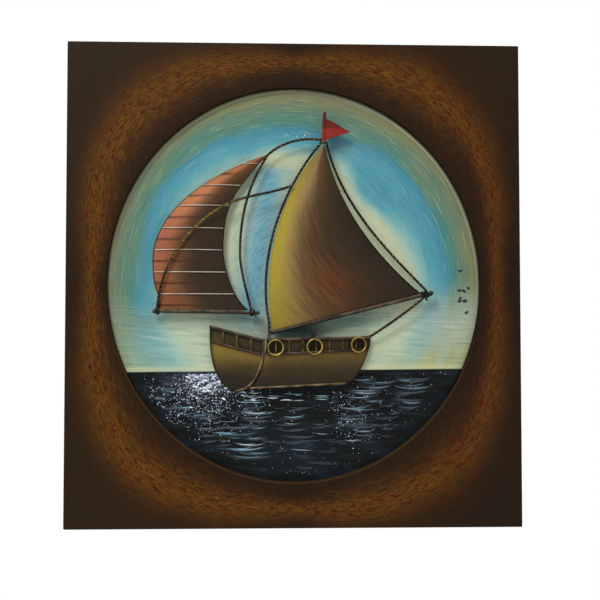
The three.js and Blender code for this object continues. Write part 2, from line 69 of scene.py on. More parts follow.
# Sizes of the boat, measured from the middle of the panel and from the backdrop's face
BOAT_SHEET = 0.8
MAIN_STAND_OFF = 18
MAIN_BELLY = 15
MIZZEN_STAND_OFF = 12
MIZZEN_BELLY = 7
RIDGE_STAND_OFF = 22
STERN_STAND_OFF = 8
BOW_STAND_OFF = 8
BELLY_FULLNESS = 0.75
MAIN_BOOM_RADIUS = 2.4
MIZZEN_BOOM_RADIUS = 2
BOOM_BALL_RADIUS = 3.4
MIZZEN_BALL_RADIUS = 2.6
WIRE_RADIUS = 1.95
WIRE_PITCH = 6.4
TIE_RADIUS = 1.5
BATTEN_RADIUS = 1.2
TOP_RAIL_RADIUS = 2
LOWER_RAIL_RADIUS = 1.6
ROLLED_EDGE_RADIUS = 1.7
RING_RADIUS = 9.8
RING_WIRE_RADIUS = 1.15
POLE_RADIUS = 2.3
POST_WIDTH = 5
POST_THICKNESS = 2
TAB_WIDTH = 9
TAB_FOOT = 7
TAB_BEND = 1.6
TAB_CLEARANCE = 1.4
FOOT_LIFT = 1.1
GAP = 0.3
HAMMER_DEPTH = 0.25
HAMMER_SPAN = 26

# How meshes are rounded
CREASE_DEGREES = 40
DOME = [(0.5, 0.87), (0.85, 0.53), (0.98, 0.2)]
RIM_TURNS = [0.25, 0.5, 0.75]
LUMPINESS = 0.22


def tint(code):
    """A paint's colour from its six-digit code, as the linear values that shaders use."""
    values = [int(code[k:k + 2], 16) / 255 for k in (0, 2, 4)]
    linear = [v / 12.92 if v <= 0.04045 else ((v + 0.055) / 1.055) ** 2.4 for v in values]
    return (*linear, 1.0)


def lerp(a, b, t):
    return a + (b - a) * t


def clamp(value, low=0.0, high=1.0):
    return min(max(value, low), high)


def circle(count):
    """Equal turns round a circle."""
    return [2 * math.pi * k / count for k in range(count)]


def at(x, z, stand_off):
    """A point before the backdrop, in millimetres from the middle of the panel."""
    return Vector((x, BACKDROP_Y - stand_off, z))


class Line:
    """A chain of cubic curves through [x, z] or [x, z, stand-off] points, measured along its length."""

    SAMPLES = 48
    TANGENT_STEP = 0.004

    def __init__(self, points, stand_off=0):
        corners = [at(*p) if len(p) > 2 else at(*p, stand_off) for p in points]
        self.points = [corners[0]]
        for k in range(0, len(corners) - 3, 3):
            a, b, c, d = corners[k:k + 4]
            for step in range(1, self.SAMPLES + 1):
                t = step / self.SAMPLES
                s = 1 - t
                self.points.append(a * s ** 3 + b * 3 * s * s * t + c * 3 * s * t * t + d * t ** 3)
        self.lengths = [0.0]
        for first, second in zip(self.points, self.points[1:]):
            self.lengths.append(self.lengths[-1] + (second - first).length)
        self.length = self.lengths[-1]

    def at(self, t):
        goal = clamp(t) * self.length
        high = clamp(bisect_right(self.lengths, goal), 1, len(self.lengths) - 1)
        start, end = self.lengths[high - 1:high + 1]
        return self.points[high - 1].lerp(self.points[high], (goal - start) / max(end - start, 1e-9))

    def tangent(self, t):
        return (self.at(t + self.TANGENT_STEP) - self.at(t - self.TANGENT_STEP)).normalized()

    def at_height(self, z):
        """Where a line that only rises or only falls reaches a height."""
        rises = self.points[-1].z > self.points[0].z
        low, high = 0.0, 1.0
        for _ in range(20):
            middle = (low + high) / 2
            if (self.at(middle).z < z) == rises:
                low = middle
            else:
                high = middle
        return self.at((low + high) / 2)

    def run(self, steps):
        return [self.at(k / steps) for k in range(steps + 1)]


def carried_frames(points):
    """Two directions across a run of points at each of them, turned as little as possible."""
    spans = zip(points[:1] + points[:-1], points[1:] + points[-1:])
    tangents = [(ahead - behind).normalized() for behind, ahead in spans]
    start = Vector((0, -1, 0)) if abs(tangents[0].y) < 0.9 else Vector((1, 0, 0))
    side = (start - tangents[0] * start.dot(tangents[0])).normalized()
    frames = []
    for tangent in tangents:
        side = (side - tangent * side.dot(tangent)).normalized()
        frames.append((side, tangent.cross(side)))
    return frames


def ring_faces(here, there, sides):
    """Faces between two rings of points, each given by the number of its first point."""
    rights = [(s + 1) % sides for s in range(sides)]
    return [(here + s, here + right, there + right, there + s) for s, right in enumerate(rights)]


def edge_loops(height, width, closed):
    """Places round the edge of a grid: one loop, or two where its columns close on themselves."""
    bottom = [(0, i) for i in range(width)]
    top = [(height - 1, i) for i in reversed(range(width))]
    if closed:
        return [bottom, top]
    right = [(j, width - 1) for j in range(1, height - 1)]
    left = [(j, 0) for j in reversed(range(1, height - 1))]
    return [bottom + right + top + left]


class Form:
    """Points and faces of one piece, with a paint coordinate and a colour at each point."""

    def __init__(self):
        self.points = []
        self.faces = []
        self.looks = []
        self.paint = []
        self.tints = []

    def add(self, points, faces, paint=None, look=0, colour=(1, 1, 1, 1)):
        first = len(self.points)
        self.points.extend(points)
        self.paint.extend(paint if paint else [(0, 0, 0)] * len(points))
        self.tints.extend([colour] * len(points))
        self.faces.extend([tuple(first + k for k in face) for face in faces])
        self.looks.extend(look if isinstance(look, list) else [look] * len(faces))

    def tube(self, points, radius, sides=10, closed=False, look=0):
        """A round rod along points, with domed ends unless it closes on itself."""
        radius_at = radius if callable(radius) else lambda t: radius
        frames = carried_frames(points)
        last = len(points) - 1
        rings = [(k, point, 1.0) for k, point in enumerate(points)]
        if not closed:
            start = (points[0] - points[1]).normalized() * radius_at(0)
            end = (points[-1] - points[-2]).normalized() * radius_at(1)
            rings = [(0, points[0] + start * rise, shrink) for rise, shrink in DOME[::-1]] + rings
            rings += [(last, points[-1] + end * rise, shrink) for rise, shrink in DOME]
        ring_points = []
        paint = []
        for k, middle, shrink in rings:
            side, over = frames[k]
            reach = radius_at(k / last) * shrink
            for s, turn in enumerate(circle(sides)):
                ring_points.append(middle + side * reach * math.cos(turn) + over * reach * math.sin(turn))
                paint.append((k / last, s / sides, 0))
        count = len(rings)
        faces = []
        for k in range(count if closed else count - 1):
            faces += ring_faces(k * sides, (k + 1) % count * sides, sides)
        if not closed:
            faces.append(tuple(range(sides - 1, -1, -1)))
            faces.append(tuple(range((count - 1) * sides, count * sides)))
        self.add(ring_points, faces, paint, look)

    def blob(self, middle, radii, seed=0, sides=12, rings=8):
        """A lump of solder: an uneven flattened ball."""
        points = [middle + Vector((0, -radii[1], 0))]
        for k in range(1, rings):
            tilt = math.pi * k / rings
            wide = math.sin(tilt)
            for turn in circle(sides):
                way = Vector((wide * math.cos(turn), -math.cos(tilt), wide * math.sin(turn)))
                swell = 1 + LUMPINESS * noise.noise(way * 1.7 + Vector((seed * 3.1, 0, 0)))
                points.append(middle + Vector([way[i] * radii[i] * swell for i in range(3)]))
        points.append(middle + Vector((0, radii[1], 0)))
        last = len(points) - 1
        final = last - sides
        faces = [(0, 1 + s, 1 + (s + 1) % sides) for s in range(sides)]
        for k in range(rings - 2):
            faces += ring_faces(1 + (k + 1) * sides, 1 + k * sides, sides)
        faces += [(last, final + (s + 1) % sides, final + s) for s in range(sides)]
        self.add(points, faces)

    def sheet(self, rows, thickness, paint=None, closed=False, back=1):
        """A sheet of even thickness behind a grid of front points, with round edges.
        Rows run upwards and columns to the right, seen from the front."""
        height, width = len(rows), len(rows[0])
        places = [(j, i) for j in range(height) for i in range(width)]

        def column(i):
            return i % width if closed else clamp(i, 0, width - 1)

        normals = {}
        for j, i in places:
            across = rows[j][column(i + 1)] - rows[j][column(i - 1)]
            up = rows[min(j + 1, height - 1)][i] - rows[max(j - 1, 0)][i]
            normals[j, i] = across.cross(up).normalized()
        if paint is None:
            paint = [[(i / (width - 1), j / (height - 1), 0) for i in range(width)] for j in range(height)]
        points = [rows[j][i] for j, i in places]
        points += [rows[j][i] - normals[j, i] * thickness for j, i in places]
        flat_paint = [paint[j][i] for j, i in places] * 2
        faces = []
        for j in range(height - 1):
            for i in range(width if closed else width - 1):
                corners = [(j, i), (j, column(i + 1)), (j + 1, column(i + 1)), (j + 1, i)]
                flat = [r * width + c for r, c in corners]
                faces += [tuple(flat), tuple(width * height + k for k in reversed(flat))]
        looks = [0, back] * (len(faces) // 2)
        for loop in edge_loops(height, width, closed):
            size = len(loop)
            rings = [[j * width + i for j, i in loop]]
            for turn in [math.pi * share for share in RIM_TURNS]:
                rings.append(list(range(len(points), len(points) + size)))
                for k, (j, i) in enumerate(loop):
                    (j0, i0), (j1, i1) = loop[k - 1], loop[(k + 1) % size]
                    out = (rows[j1][i1] - rows[j0][i0]).cross(normals[j, i]).normalized()
                    reach = out * math.sin(turn) * 0.5 + normals[j, i] * (math.cos(turn) - 1) * 0.5
                    points.append(rows[j][i] + reach * thickness)
                    flat_paint.append((*paint[j][i][:2], 1))
            rings.append([width * height + k for k in rings[0]])
            for near, far in zip(rings, rings[1:]):
                for k in range(size):
                    n = (k + 1) % size
                    faces.append((near[k], far[k], far[n], near[n]))
        looks += [0] * (len(faces) - len(looks))
        self.add(points, faces, flat_paint, looks)


def new_object(name, points, faces):
    """An object from points in millimetres, measured from the middle of the panel."""
    mesh = bpy.data.meshes.new(name)
    lift = Vector((0, 0, PANEL_MIDDLE_Z))
    mesh.from_pydata([(p + lift) * MM for p in points], [], faces)
    piece = bpy.data.objects.new(name, mesh)
    bpy.context.scene.collection.objects.link(piece)
    return piece


def make(name, build, materials, nodes=()):
    """Builds a form and turns it into a piece that rides on the panel and stands for its solids."""
    form = Form()
    build(form)
    piece = new_object(name, form.points, form.faces)
    mesh = piece.data
    for material in materials:
        mesh.materials.append(material)
    mesh.polygons.foreach_set("material_index", [min(k, len(materials) - 1) for k in form.looks])
    paint = mesh.attributes.new("paint", "FLOAT_VECTOR", "POINT")
    paint.data.foreach_set("vector", [value for triple in form.paint for value in triple])
    colour = mesh.attributes.new("tint", "FLOAT_COLOR", "POINT")
    colour.data.foreach_set("color", [value for four in form.tints for value in four])
    mesh.shade_smooth()
    mesh.set_sharp_from_angle(angle=math.radians(CREASE_DEGREES))
    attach(piece, "root")
    for node in nodes:
        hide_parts(node)
    return piece


# Materials

def math_node(operation):
    return lambda first, second=0.0: first.paint.math(operation, first, second)


class Value:
    """A number or colour in a material: each operation on it adds a node."""

    __add__ = __radd__ = math_node("ADD")
    __sub__ = math_node("SUBTRACT")
    __mul__ = __rmul__ = math_node("MULTIPLY")
    __truediv__ = math_node("DIVIDE")
    __pow__ = math_node("POWER")
    __abs__ = math_node("ABSOLUTE")
    at_least = math_node("MAXIMUM")
    exponent = math_node("EXPONENT")
    cosine = math_node("COSINE")

    def __init__(self, paint, socket):
        self.paint = paint
        self.socket = socket

    def __rsub__(self, other):
        return self.paint.math("SUBTRACT", other, self)

    def span(self, low, high):
        """Nothing below low, one above high and a smooth rise between them."""
        inputs = {"Value": self, "From Min": low, "From Max": high}
        return self.paint.node("MapRange", inputs, interpolation_type="SMOOTHSTEP")

    def bell(self, middle, width):
        """One at the middle, falling off to nothing on both sides."""
        share = (self - middle) / width
        return (share * share * -1).exponent()

    def coat(self, share, colour):
        """This colour with another one painted over it by a share."""
        return self.paint.mix(share, self, colour)

    def coats(self, *layers):
        """This colour with others painted over it in turn."""
        colour = self
        for share, other in layers:
            colour = colour.coat(share, other)
        return colour


class Paint:
    """One procedural material: each method adds a node and gives its value."""

    def __init__(self, name, metallic=0.0, roughness=0.5, specular=0.4):
        self.material = bpy.data.materials.new(name)
        self.material.use_nodes = True
        self.tree = self.material.node_tree
        self.shader = self.tree.nodes["Principled BSDF"]
        self.shader.inputs["Metallic"].default_value = metallic
        self.shader.inputs["Roughness"].default_value = roughness
        self.shader.inputs["Specular IOR Level"].default_value = specular

    def put(self, socket, value):
        if isinstance(value, Value):
            self.tree.links.new(value.socket, socket)
        else:
            socket.default_value = tint(value) if isinstance(value, str) else value

    def node(self, kind, inputs, out=0, **settings):
        node = self.tree.nodes.new("ShaderNode" + kind)
        for key, value in settings.items():
            setattr(node, key, value)
        for key, value in inputs.items():
            self.put(node.inputs[key], value)
        return Value(self, node.outputs[out])

    def math(self, operation, a, b):
        return self.node("Math", {0: a, 1: b}, operation=operation)

    def parts(self, vector):
        return [self.node("SeparateXYZ", {0: vector}, out=k) for k in range(3)]

    def place(self):
        """X, Y and Z in millimetres, from the middle of the panel."""
        where = self.node("TexCoord", {}, out=3)
        x, y, z = self.parts(self.node("VectorMath", {0: where, 3: 1 / MM}, operation="SCALE"))
        return x, y, z - PANEL_MIDDLE_Z

    def sheet_place(self):
        """Across, along and edge of a sheet or rod."""
        return self.parts(self.node("Attribute", {}, out=1, attribute_name="paint"))

    def noise(self, place, scale, detail=4, rough=0.55):
        vector = self.node("CombineXYZ", dict(enumerate(place)))
        inputs = {"Vector": vector, "Scale": scale, "Detail": detail, "Roughness": rough}
        return self.node("TexNoise", inputs)

    def ramp(self, value, stops):
        node = self.tree.nodes.new("ShaderNodeValToRGB")
        self.put(node.inputs[0], value)
        elements = node.color_ramp.elements
        while len(elements) < len(stops):
            elements.new(0.5)
        for element, (position, code) in zip(elements, stops):
            element.position = position
            element.color = tint(code)
        return Value(self, node.outputs[0])

    def mix(self, share, first, second):
        return self.node("Mix", {0: share, 6: first, 7: second}, out=2, data_type="RGBA")

    def finish(self, colour, bump=None, strength=0.2, depth=0.4, rough=None):
        """Joins the colour, the bump and the roughness to the shader."""
        self.put(self.shader.inputs["Base Color"], colour)
        if rough:
            low, high, share = rough
            inputs = {"Value": share, "To Min": low, "To Max": high}
            self.put(self.shader.inputs["Roughness"], self.node("MapRange", inputs))
        if bump:
            inputs = {"Strength": strength, "Distance": depth * MM, "Height": bump}
            self.put(self.shader.inputs["Normal"], self.node("Bump", inputs))
        return self.material


def ring_coordinates(x, z, half_width, half_height, power=2.0):
    """How far out a place is, one on the ring, and the two parts of its direction."""
    across, up = x / half_width, z / half_height
    out = (abs(across) ** power + abs(up) ** power) ** (1 / power)
    safe = ((across * across + up * up) ** 0.5).at_least(0.01)
    return out, across / safe, up / safe


GLOW_HALF_WIDTH = 268
GLOW_HALF_HEIGHT = 296
GLOW_SQUARENESS = 2.8


def surround_paint():
    """Dark brown with an ochre glow brushed round the window, a painted highlight along its lower edge, and
    painted shade on its turned-back wall, near-black above and lit brown below.
    """
    paint = Paint("surround_paint", roughness=0.55, specular=0.06)
    x, y, z = paint.place()
    out, cos, sin = ring_coordinates(x, z, GLOW_HALF_WIDTH, GLOW_HALF_HEIGHT, GLOW_SQUARENESS)

    def brushed(along, across, detail, rough=0.5):
        return paint.noise((cos * along, sin * along, out * across), 1.5, detail, rough)

    streaks = brushed(16, 92, 5, 0.62)
    dashes = brushed(22, 84, 1)
    hairs = brushed(27, 165, 1)
    broad = paint.noise((x, 0, z), 0.011, 3)
    grain = paint.noise((x, 0, z), 0.45, 4, 0.7)
    drift = out + (broad - 0.5) * 0.07 + (streaks - 0.5) * 0.06
    corner = abs(cos * sin * 2)
    width = corner * 0.055 + 0.034
    inside = x.span(180, 240) * out.span(1, 0.93)
    glow = drift.bell(1, width) * (streaks.span(0.3, 0.66) * 0.34 + 0.58)
    glow = glow * (1 - inside * 0.7) * (corner * 0.18 + 0.85)
    right = x.span(60, 270) * z.span(300, 120)
    base = paint.mix(out.span(1, 1.2), "24180d", "291d10").coat(right * 0.5, "20150c")
    base = base.coat(streaks.span(0.48, 0.75) * 0.28, "3f2814").coat(grain.span(0.5, 0.72) * 0.45, "19110c")
    ochre = paint.mix(streaks.span(0.35, 0.7), "5b370e", "6c4511").coat(right * 0.5, "55300f")
    near_glow = drift.bell(1, width + 0.02)
    colour = base.coat(glow, ochre).coat(dashes.span(0.6, 0.63) * near_glow * 0.85, "4a0d08")
    colour = colour.coat(hairs.span(0.42, 0.35) * (near_glow * 0.5 + 0.12), "1b1008")
    oval = ring_coordinates(x, z, WINDOW_WIDTH / 2, WINDOW_HEIGHT / 2)[0]
    # painted highlight: a light brown line along the window's lower edge, as if lit from above
    lit_lower_window_edge = oval.bell(1.006, 0.0025) * z.span(-60, -130)
    colour = colour.coat(lit_lower_window_edge * 0.45, "5c4220")
    # painted shade and light on the window's turned-back wall: near-black above, lit brown towards the bottom
    wall = y.span(-29.7, -28.4) * oval.span(1.06, 1.03)
    recess_shade_and_light = paint.mix(z.span(-120, -200), "0d0a08", "4a3820")
    return paint.finish(colour.coat(wall, recess_shade_and_light), streaks, 0.22, 0.5, (0.42, 0.62, grain))


FOAM_PLACE = (-122, -132)
HORIZON_LEFT = -116.4
HORIZON_RIGHT = -112.2
HORIZON_SPAN = 438
SKY_RINGS = [(0.0, "bcc4a4"), (0.63, "bac2a2"), (0.69, "93b8ae"), (0.75, "559aa6"), (0.81, "43869a"),
             (0.86, "4a7c70"), (0.92, "637962"), (0.97, "777a58"), (1.0, "747358")]
SEA_DEPTHS = [(0.3, "090a09"), (0.5, "101211"), (0.62, "171b1c"), (0.76, "212c34")]


def horizon(x):
    return lerp(HORIZON_LEFT, HORIZON_RIGHT, x / HORIZON_SPAN + 0.5)


def backdrop_paint():
    """A sky brushed in rings from olive at the rim through blue to cream, over a near-black sea."""
    paint = Paint("backdrop_paint", roughness=0.5, specular=0.1)
    x, y, z = paint.place()
    out, cos, sin = ring_coordinates(x, z, WINDOW_WIDTH / 2, WINDOW_HEIGHT / 2)
    strokes = paint.noise((cos * 4.4, sin * 4.4, out * 92), 1.4, 5, 0.62)
    sweeps = paint.noise((cos * 1.6, sin * 1.6, out * 9), 1.3)
    drift = paint.noise((x, 0, z), 0.012, 2)
    sponge = paint.noise((x, 0, z), 0.42, 4, 0.7)
    # Rings of the sky, pushed out or in by place
    ring = out + (drift - 0.5) * 0.08 + (strokes - 0.5) * 0.09 + (sweeps - 0.5) * 0.08
    lens = z.bell(125, 62) * x.span(50, 95) * out.bell(0.62, 0.12)
    top = x.bell(10, 95) * z.span(150, 205)
    ring = ring + lens * 0.15 + x.span(-60, -150) * -0.03 + top * 0.025
    sky = paint.ramp(ring, SKY_RINGS)
    # Broad areas of the sky: between the sails and low down, with painted shadows of the boat under the
    # mizzen boom, under the main boom and below the flag
    lobe = (x - z * 0.14).bell(-53, 25) * z.span(172, 146) * z.span(-80, -30)
    sky = sky.coats(
        (lobe * 0.9, paint.mix(strokes, "4088ab", "72acb8")),
        (x.bell(-24, 19) * z.bell(165, 11) * 0.7, "bfc192"),
        (z.span(0, -110) * out.span(0.3, 0.75) * 0.55, "9ab6a3"),
        (x.span(130, 205) * z.span(15, -55) * 0.65, "a9b09c"),
        # painted shadow under the mizzen boom
        (z.bell(-50, 12) * x.span(-30, -70) * 0.55, "6f8478"),
        # painted shadows under the main boom, between it and the hull
        (x.bell(4, 48) * z.bell(-62, 15), paint.mix(strokes, "1f3f46", "3d666a")),
        (x.bell(78, 46) * z.bell(-46, 18) * 0.9, paint.mix(strokes, "3a6661", "719589")),
        # painted shadow of the flag, below and to the right of it
        (x.bell(62, 24) * z.bell(182, 14) * 0.6, "5c7a80"),
        (z.span(-50, -114) * x.span(80, 170) * sweeps.span(0.3, 0.65), "a4a266"),
        (sweeps.span(0.5, 0.64) * out.span(0.74, 0.94) * 0.3, "7f8650"))
    # Brush marks: level ones above the sea, round ones elsewhere, and sponge dots
    level_marks = paint.noise((x * 0.016, 6, z * 0.3 + x * 0.02), 1.3, 5, 0.62)
    lowest = z.span(0, -45)
    sky = sky.coat(level_marks.span(0.54, 0.7) * lowest * 0.35, "d3d7ba")
    sky = sky.coat(level_marks.span(0.47, 0.32) * lowest * 0.42, "567f7e")
    loose = z.span(-70, 40) * 0.75 + 0.25
    sky = sky.coats(
        (strokes.span(0.54, 0.72) * loose * 0.26, "c4cfb2"),
        (strokes.span(0.47, 0.3) * loose * 0.5, "35605f"),
        (sponge.span(0.56, 0.74) * 0.2, "b9c4a8"),
        (sponge.span(0.44, 0.26) * 0.22, "3f6362"),
        (out.bell(0.988, 0.003) * z.span(-60, 40) * 0.5, "cccbb8"))
    # The sea
    waves = paint.noise((x * 0.011, 0, z * 0.075), 1.5, 5)
    patches = paint.noise((x * 0.014, 3, z * 0.034), 1.6)
    sea = paint.ramp(waves, SEA_DEPTHS).coat(patches.span(0.53, 0.7) * 0.6, "162733")
    sea = sea.coat(x.bell(-8, 46) * z.bell(-222, 26) * 0.25, "1d3343")
    froth = x.bell(FOAM_PLACE[0] - 4, 34) * z.bell(-128, 15)
    sea = sea.coat(froth * sponge.span(0.4, 0.62), "565870")
    above = z - horizon(x)
    colour = sky.coat(above.bell(3, 4) * 0.55, "c4c498").coat(above.span(0.7, -0.7), sea)
    return paint.finish(colour, strokes, 0.25, 0.5, (0.38, 0.6, strokes))


def bare_back():
    """Thin dark primer on the sides that face the wall."""
    paint = Paint("bare_back", metallic=0.3, roughness=0.6, specular=0.3)
    place = paint.place()
    blotch = paint.noise(place, 0.02, 5)
    grain = paint.noise(place, 0.6, 3)
    colour = paint.ramp(blotch, [(0.3, "2c2621"), (0.52, "3a322a"), (0.72, "4a3c30")])
    colour = colour.coat(grain.span(0.6, 0.75) * 0.35, "5b4634")
    return paint.finish(colour, grain, 0.15, 0.3, (0.5, 0.7, blotch))


def main_sail_paint():
    """Gold along the luff, tan at the head, dark brown to the right, with a red glow low in the middle."""
    paint = Paint("main_sail_paint", metallic=0.25, roughness=0.5, specular=0.12)
    u, v, edge = paint.sheet_place()
    streaks = paint.noise((u * 48 + v * 31, v * 3, 0), 1.5, 6, 0.66)
    sweep = paint.noise((u * 3, v * 2, 4), 1.5, 3)
    across = u * (1 - v.span(0.35, 0.9) * 0.36) + (sweep - 0.5) * 0.09 + (streaks - 0.5) * 0.13
    colour = paint.ramp(across, [(0.0, "a3902d"), (0.08, "a08d37"), (0.17, "917844"), (0.27, "6c5536"),
                                 (0.38, "533e24"), (0.6, "3b2f20"), (1.0, "2d251a")])
    colour = colour.coat(v.span(0.3, 0.02) * u.span(0.4, 0.1) * 0.35, "6b5730")
    colour = colour.coat(v.span(0.62, 0.98) * 0.4, "6f5536")
    glow = u.bell(0.49, 0.17) * v.bell(0.18, 0.12) * streaks.span(0.2, 0.6)
    colour = colour.coats(
        (glow * 0.7, "713a1e"),
        (streaks.span(0.5, 0.7) * u.span(0.75, 0.3) * 0.25, "94794a"),
        (streaks.span(0.53, 0.38) * (u.span(0.06, 0.25) * 0.3 + 0.14), "231a12"))
    border = edge.at_least(u.span(0.982, 0.994))
    colour = colour.coat(border * 0.85, "0f0c09")
    return paint.finish(colour, streaks, 0.18, 0.3, (0.4, 0.58, streaks))


MIZZEN_LINE_SPACING = 28.85


def mizzen_sail_paint():
    """Terracotta at the left to dark brown at the right, with level brush lines between the battens."""
    paint = Paint("mizzen_sail_paint", metallic=0.25, roughness=0.5, specular=0.12)
    u, v, edge = paint.sheet_place()
    z = paint.place()[2]
    lines = paint.noise((u * 2.2, 0, z * 0.5), 1.3, 6, 0.66)
    sweep = paint.noise((u * 2.5, 0, z * 0.03), 1.4, 3)
    across = u + (sweep - 0.5) * 0.22 + (lines - 0.5) * 0.3
    across = across * (1 - v.span(0.48, 0.68) * 0.28)
    colour = paint.ramp(across, [(0.0, "a0673c"), (0.14, "985e39"), (0.27, "7a5033"), (0.4, "553b28"),
                                 (0.58, "392d20"), (1.0, "30271b")])
    colour = colour.coats(
        (v.span(0.2, 0.04) * u.span(0.4, 0.1) * 0.45, "56301f"),
        (v.span(0.6, 0.95) * 0.3, "7d4f31"),
        (v.bell(0.32, 0.2) * u.span(0.3, 0.05) * 0.55, "96544a"))
    wave = ((z + (lines - 0.5) * 5) * (2 * math.pi / MIZZEN_LINE_SPACING)).cosine()
    colour = colour.coat(wave.span(0.86, 1) * u.span(0.75, 0.1) * 0.65, "2a1c14")
    colour = colour.coat(lines.span(0.45, 0.28) * 0.65, "30231a")
    border = edge.at_least(u.span(0.975, 0.99)).at_least(u.span(0.022, 0.006))
    colour = colour.coat(border * 0.8, "15100c")
    return paint.finish(colour, lines, 0.25, 0.4, (0.38, 0.55, lines))


RING_PLACES = [[-25.1, -83.9], [24.9, -82.8], [81.9, -80.4]]

# Squares of the distances from a ring's middle where its shade begins and is full
RING_SHADE = (150, 100)


def hull_paint():
    """Gold under the lower rail, fading to grey-brown at the keel, and a dark band between the rails."""
    paint = Paint("hull_paint", metallic=0.3, roughness=0.5, specular=0.12)
    u, v, edge = paint.sheet_place()
    x, y, z = paint.place()
    blotch = paint.noise((x, y, z), 0.05)
    brushed = paint.noise((u * 5, v * 16, 0), 1.4, 5, 0.62)
    grain = paint.noise((x, y, z), 0.5, 4, 0.7)
    rise = v + (blotch - 0.5) * 0.16
    colour = paint.ramp(rise, [(0.0, "26221b"), (0.25, "30291e"), (0.45, "4a3d24"), (0.62, "735e2f"),
                               (0.7, "7a6431"), (0.75, "2d261c"), (0.86, "373021"), (1.0, "332b1e")])
    colour = colour.coats(
        (brushed.span(0.55, 0.78) * 0.3, "7c663a"),
        (brushed.span(0.44, 0.25) * 0.4, "231e16"),
        (grain.span(0.6, 0.7) * v.span(0.76, 0.8) * 0.5, "6b5a2c"),
        (grain.span(0.45, 0.3) * 0.25, "1d1811"),
        (u.span(-0.02, 0.1) * 0.4, "352b1e"),
        (x.span(-72, -108) * v.bell(0.6, 0.2) * 0.6, "8a7630"))
    for ring_x, ring_z in RING_PLACES:
        apart = (x - ring_x) ** 2 + (z - ring_z) ** 2
        colour = colour.coat(apart.span(*RING_SHADE) * 0.7, "110d09")
    colour = colour.coat(edge.at_least(u.span(0.93, 1)) * 0.75, "17110b")
    return paint.finish(colour, brushed, 0.15, 0.3, (0.36, 0.56, blotch))


FLAG_FOLD_Z = 205


def red_paint():
    """Red, darker above the fold of the flag."""
    paint = Paint("red_paint", roughness=0.5, specular=0.12)
    x, y, z = paint.place()
    brush = paint.noise((x * 0.06, 0, z * 0.3), 1.5)
    fold = z - FLAG_FOLD_Z + (brush - 0.5) * 6
    colour = paint.mix(fold.span(-3, 2.5), "86251e", "5e1d18").coat(brush.span(0.55, 0.75) * 0.3, "98321f")
    return paint.finish(colour, brush, 0.15, 0.3, (0.38, 0.55, brush))


def metal(name, dark, middle, bright, metallic, roughness, scale):
    """Rod or wire metal in worn patches, with painted light: brighter on its upper side and in painted shade
    below.
    """
    paint = Paint(name, metallic=metallic, roughness=roughness)
    place = paint.place()
    wear = paint.noise(place, scale)
    fine = paint.noise(place, scale * 9, 3)
    # painted light and shade: lighter where the surface faces up, darker where it faces down
    rise = paint.parts(paint.node("NewGeometry", {}, out=1))[2]
    share = wear + (fine - 0.5) * 0.3 + rise * 0.2
    colour = paint.ramp(share, [(0.32, dark), (0.5, middle), (0.68, bright)])
    return paint.finish(colour, fine, 0.2, 0.15, (roughness - 0.1, roughness + 0.15, fine))


# Where along the brace wire its painted gold highlight starts and ends
HIGHLIGHT_FROM = 0.3
HIGHLIGHT_TO = 0.72


def wire_with_painted_highlight(name, dark, gold):
    """Wire metal with a painted gold highlight along the middle of the wire."""
    paint = Paint(name, metallic=0.55, roughness=0.42)
    along = paint.sheet_place()[0]
    wear = paint.noise(paint.place(), 0.12)
    painted_highlight = along.span(HIGHLIGHT_FROM - 0.1, HIGHLIGHT_FROM + 0.04) * along.span(HIGHLIGHT_TO + 0.12, HIGHLIGHT_TO - 0.12)
    return paint.finish(paint.mix(painted_highlight * wear.span(0.25, 0.55), dark, gold), wear, 0.2, 0.15)


def stroke_paint():
    """Thick paint in the colour that each stroke carries."""
    paint = Paint("stroke_paint", roughness=0.4)
    x, y, z = paint.place()
    grain = paint.noise((x * 0.25, 0, z * 1.2), 1, 3)
    colour = paint.node("Attribute", {}, attribute_name="tint").coat(grain.span(0.5, 0.3) * 0.5, "2a3a46")
    return paint.finish(colour, grain, 0.3, 0.2, (0.32, 0.5, grain))


SURROUND = surround_paint()
BACKDROP = backdrop_paint()
BACK = bare_back()
MAIN_SAIL = main_sail_paint()
MIZZEN_SAIL = mizzen_sail_paint()
HULL = hull_paint()
RED = red_paint()
ROD = metal("dark_rod", "15100b", "2b1f16", "5e4d3b", 0.25, 0.55, 0.05)
POST = metal("post", "0b0907", "15110d", "2b241c", 0.1, 0.7, 0.05)
# The second strands of the twisted wires are lit copies of the first ones: painted light
WIRE = metal("dark_wire", "0b0806", "15100c", "2a2016", 0.5, 0.45, 0.06)
LIT_WIRE = metal("lit_wire", "21190f", "46381f", "7a6438", 0.5, 0.45, 0.06)
GOLD_WIRE = wire_with_painted_highlight("gold_wire", "15100c", "75602f")
LIT_GOLD_WIRE = wire_with_painted_highlight("lit_gold_wire", "46381f", "8a743c")
BATTEN = metal("batten_wire", "80766a", "a39888", "c4baaa", 0.25, 0.4, 0.04)
BRASS = metal("brass_rod", "5c4c1e", "9a8136", "c6ab52", 0.7, 0.36, 0.09)
DULL_BRASS = metal("dull_brass", "2e2613", "5a4b22", "84702f", 0.5, 0.45, 0.12)
SOLDER = metal("solder", "2a241e", "463c33", "6d6152", 0.6, 0.45, 0.2)
RIM = metal("rolled_rim", "2a2117", "57462c", "8b7550", 0.5, 0.42, 0.06)
STROKES = stroke_paint()


# Surround: a folded tray with a turned-back oval edge

SIDE_STEPS = 44
CORNER_STEPS = 4
CORNER_RADIUS = 1.8
SHARPEST_CORNER = 0.3
FOLD_STEPS = 4
FRONT_RINGS = 10
DRILL_REACH = 4
DRILL_SIDES = 24
WELD_Y = -0.95
WELD_INSET = 2
WELD_END = 3
WELD_RADIUS = 1
WELD_RIPPLE = 0.25
WELD_RIPPLES = 40
WELD_STEPS = 12


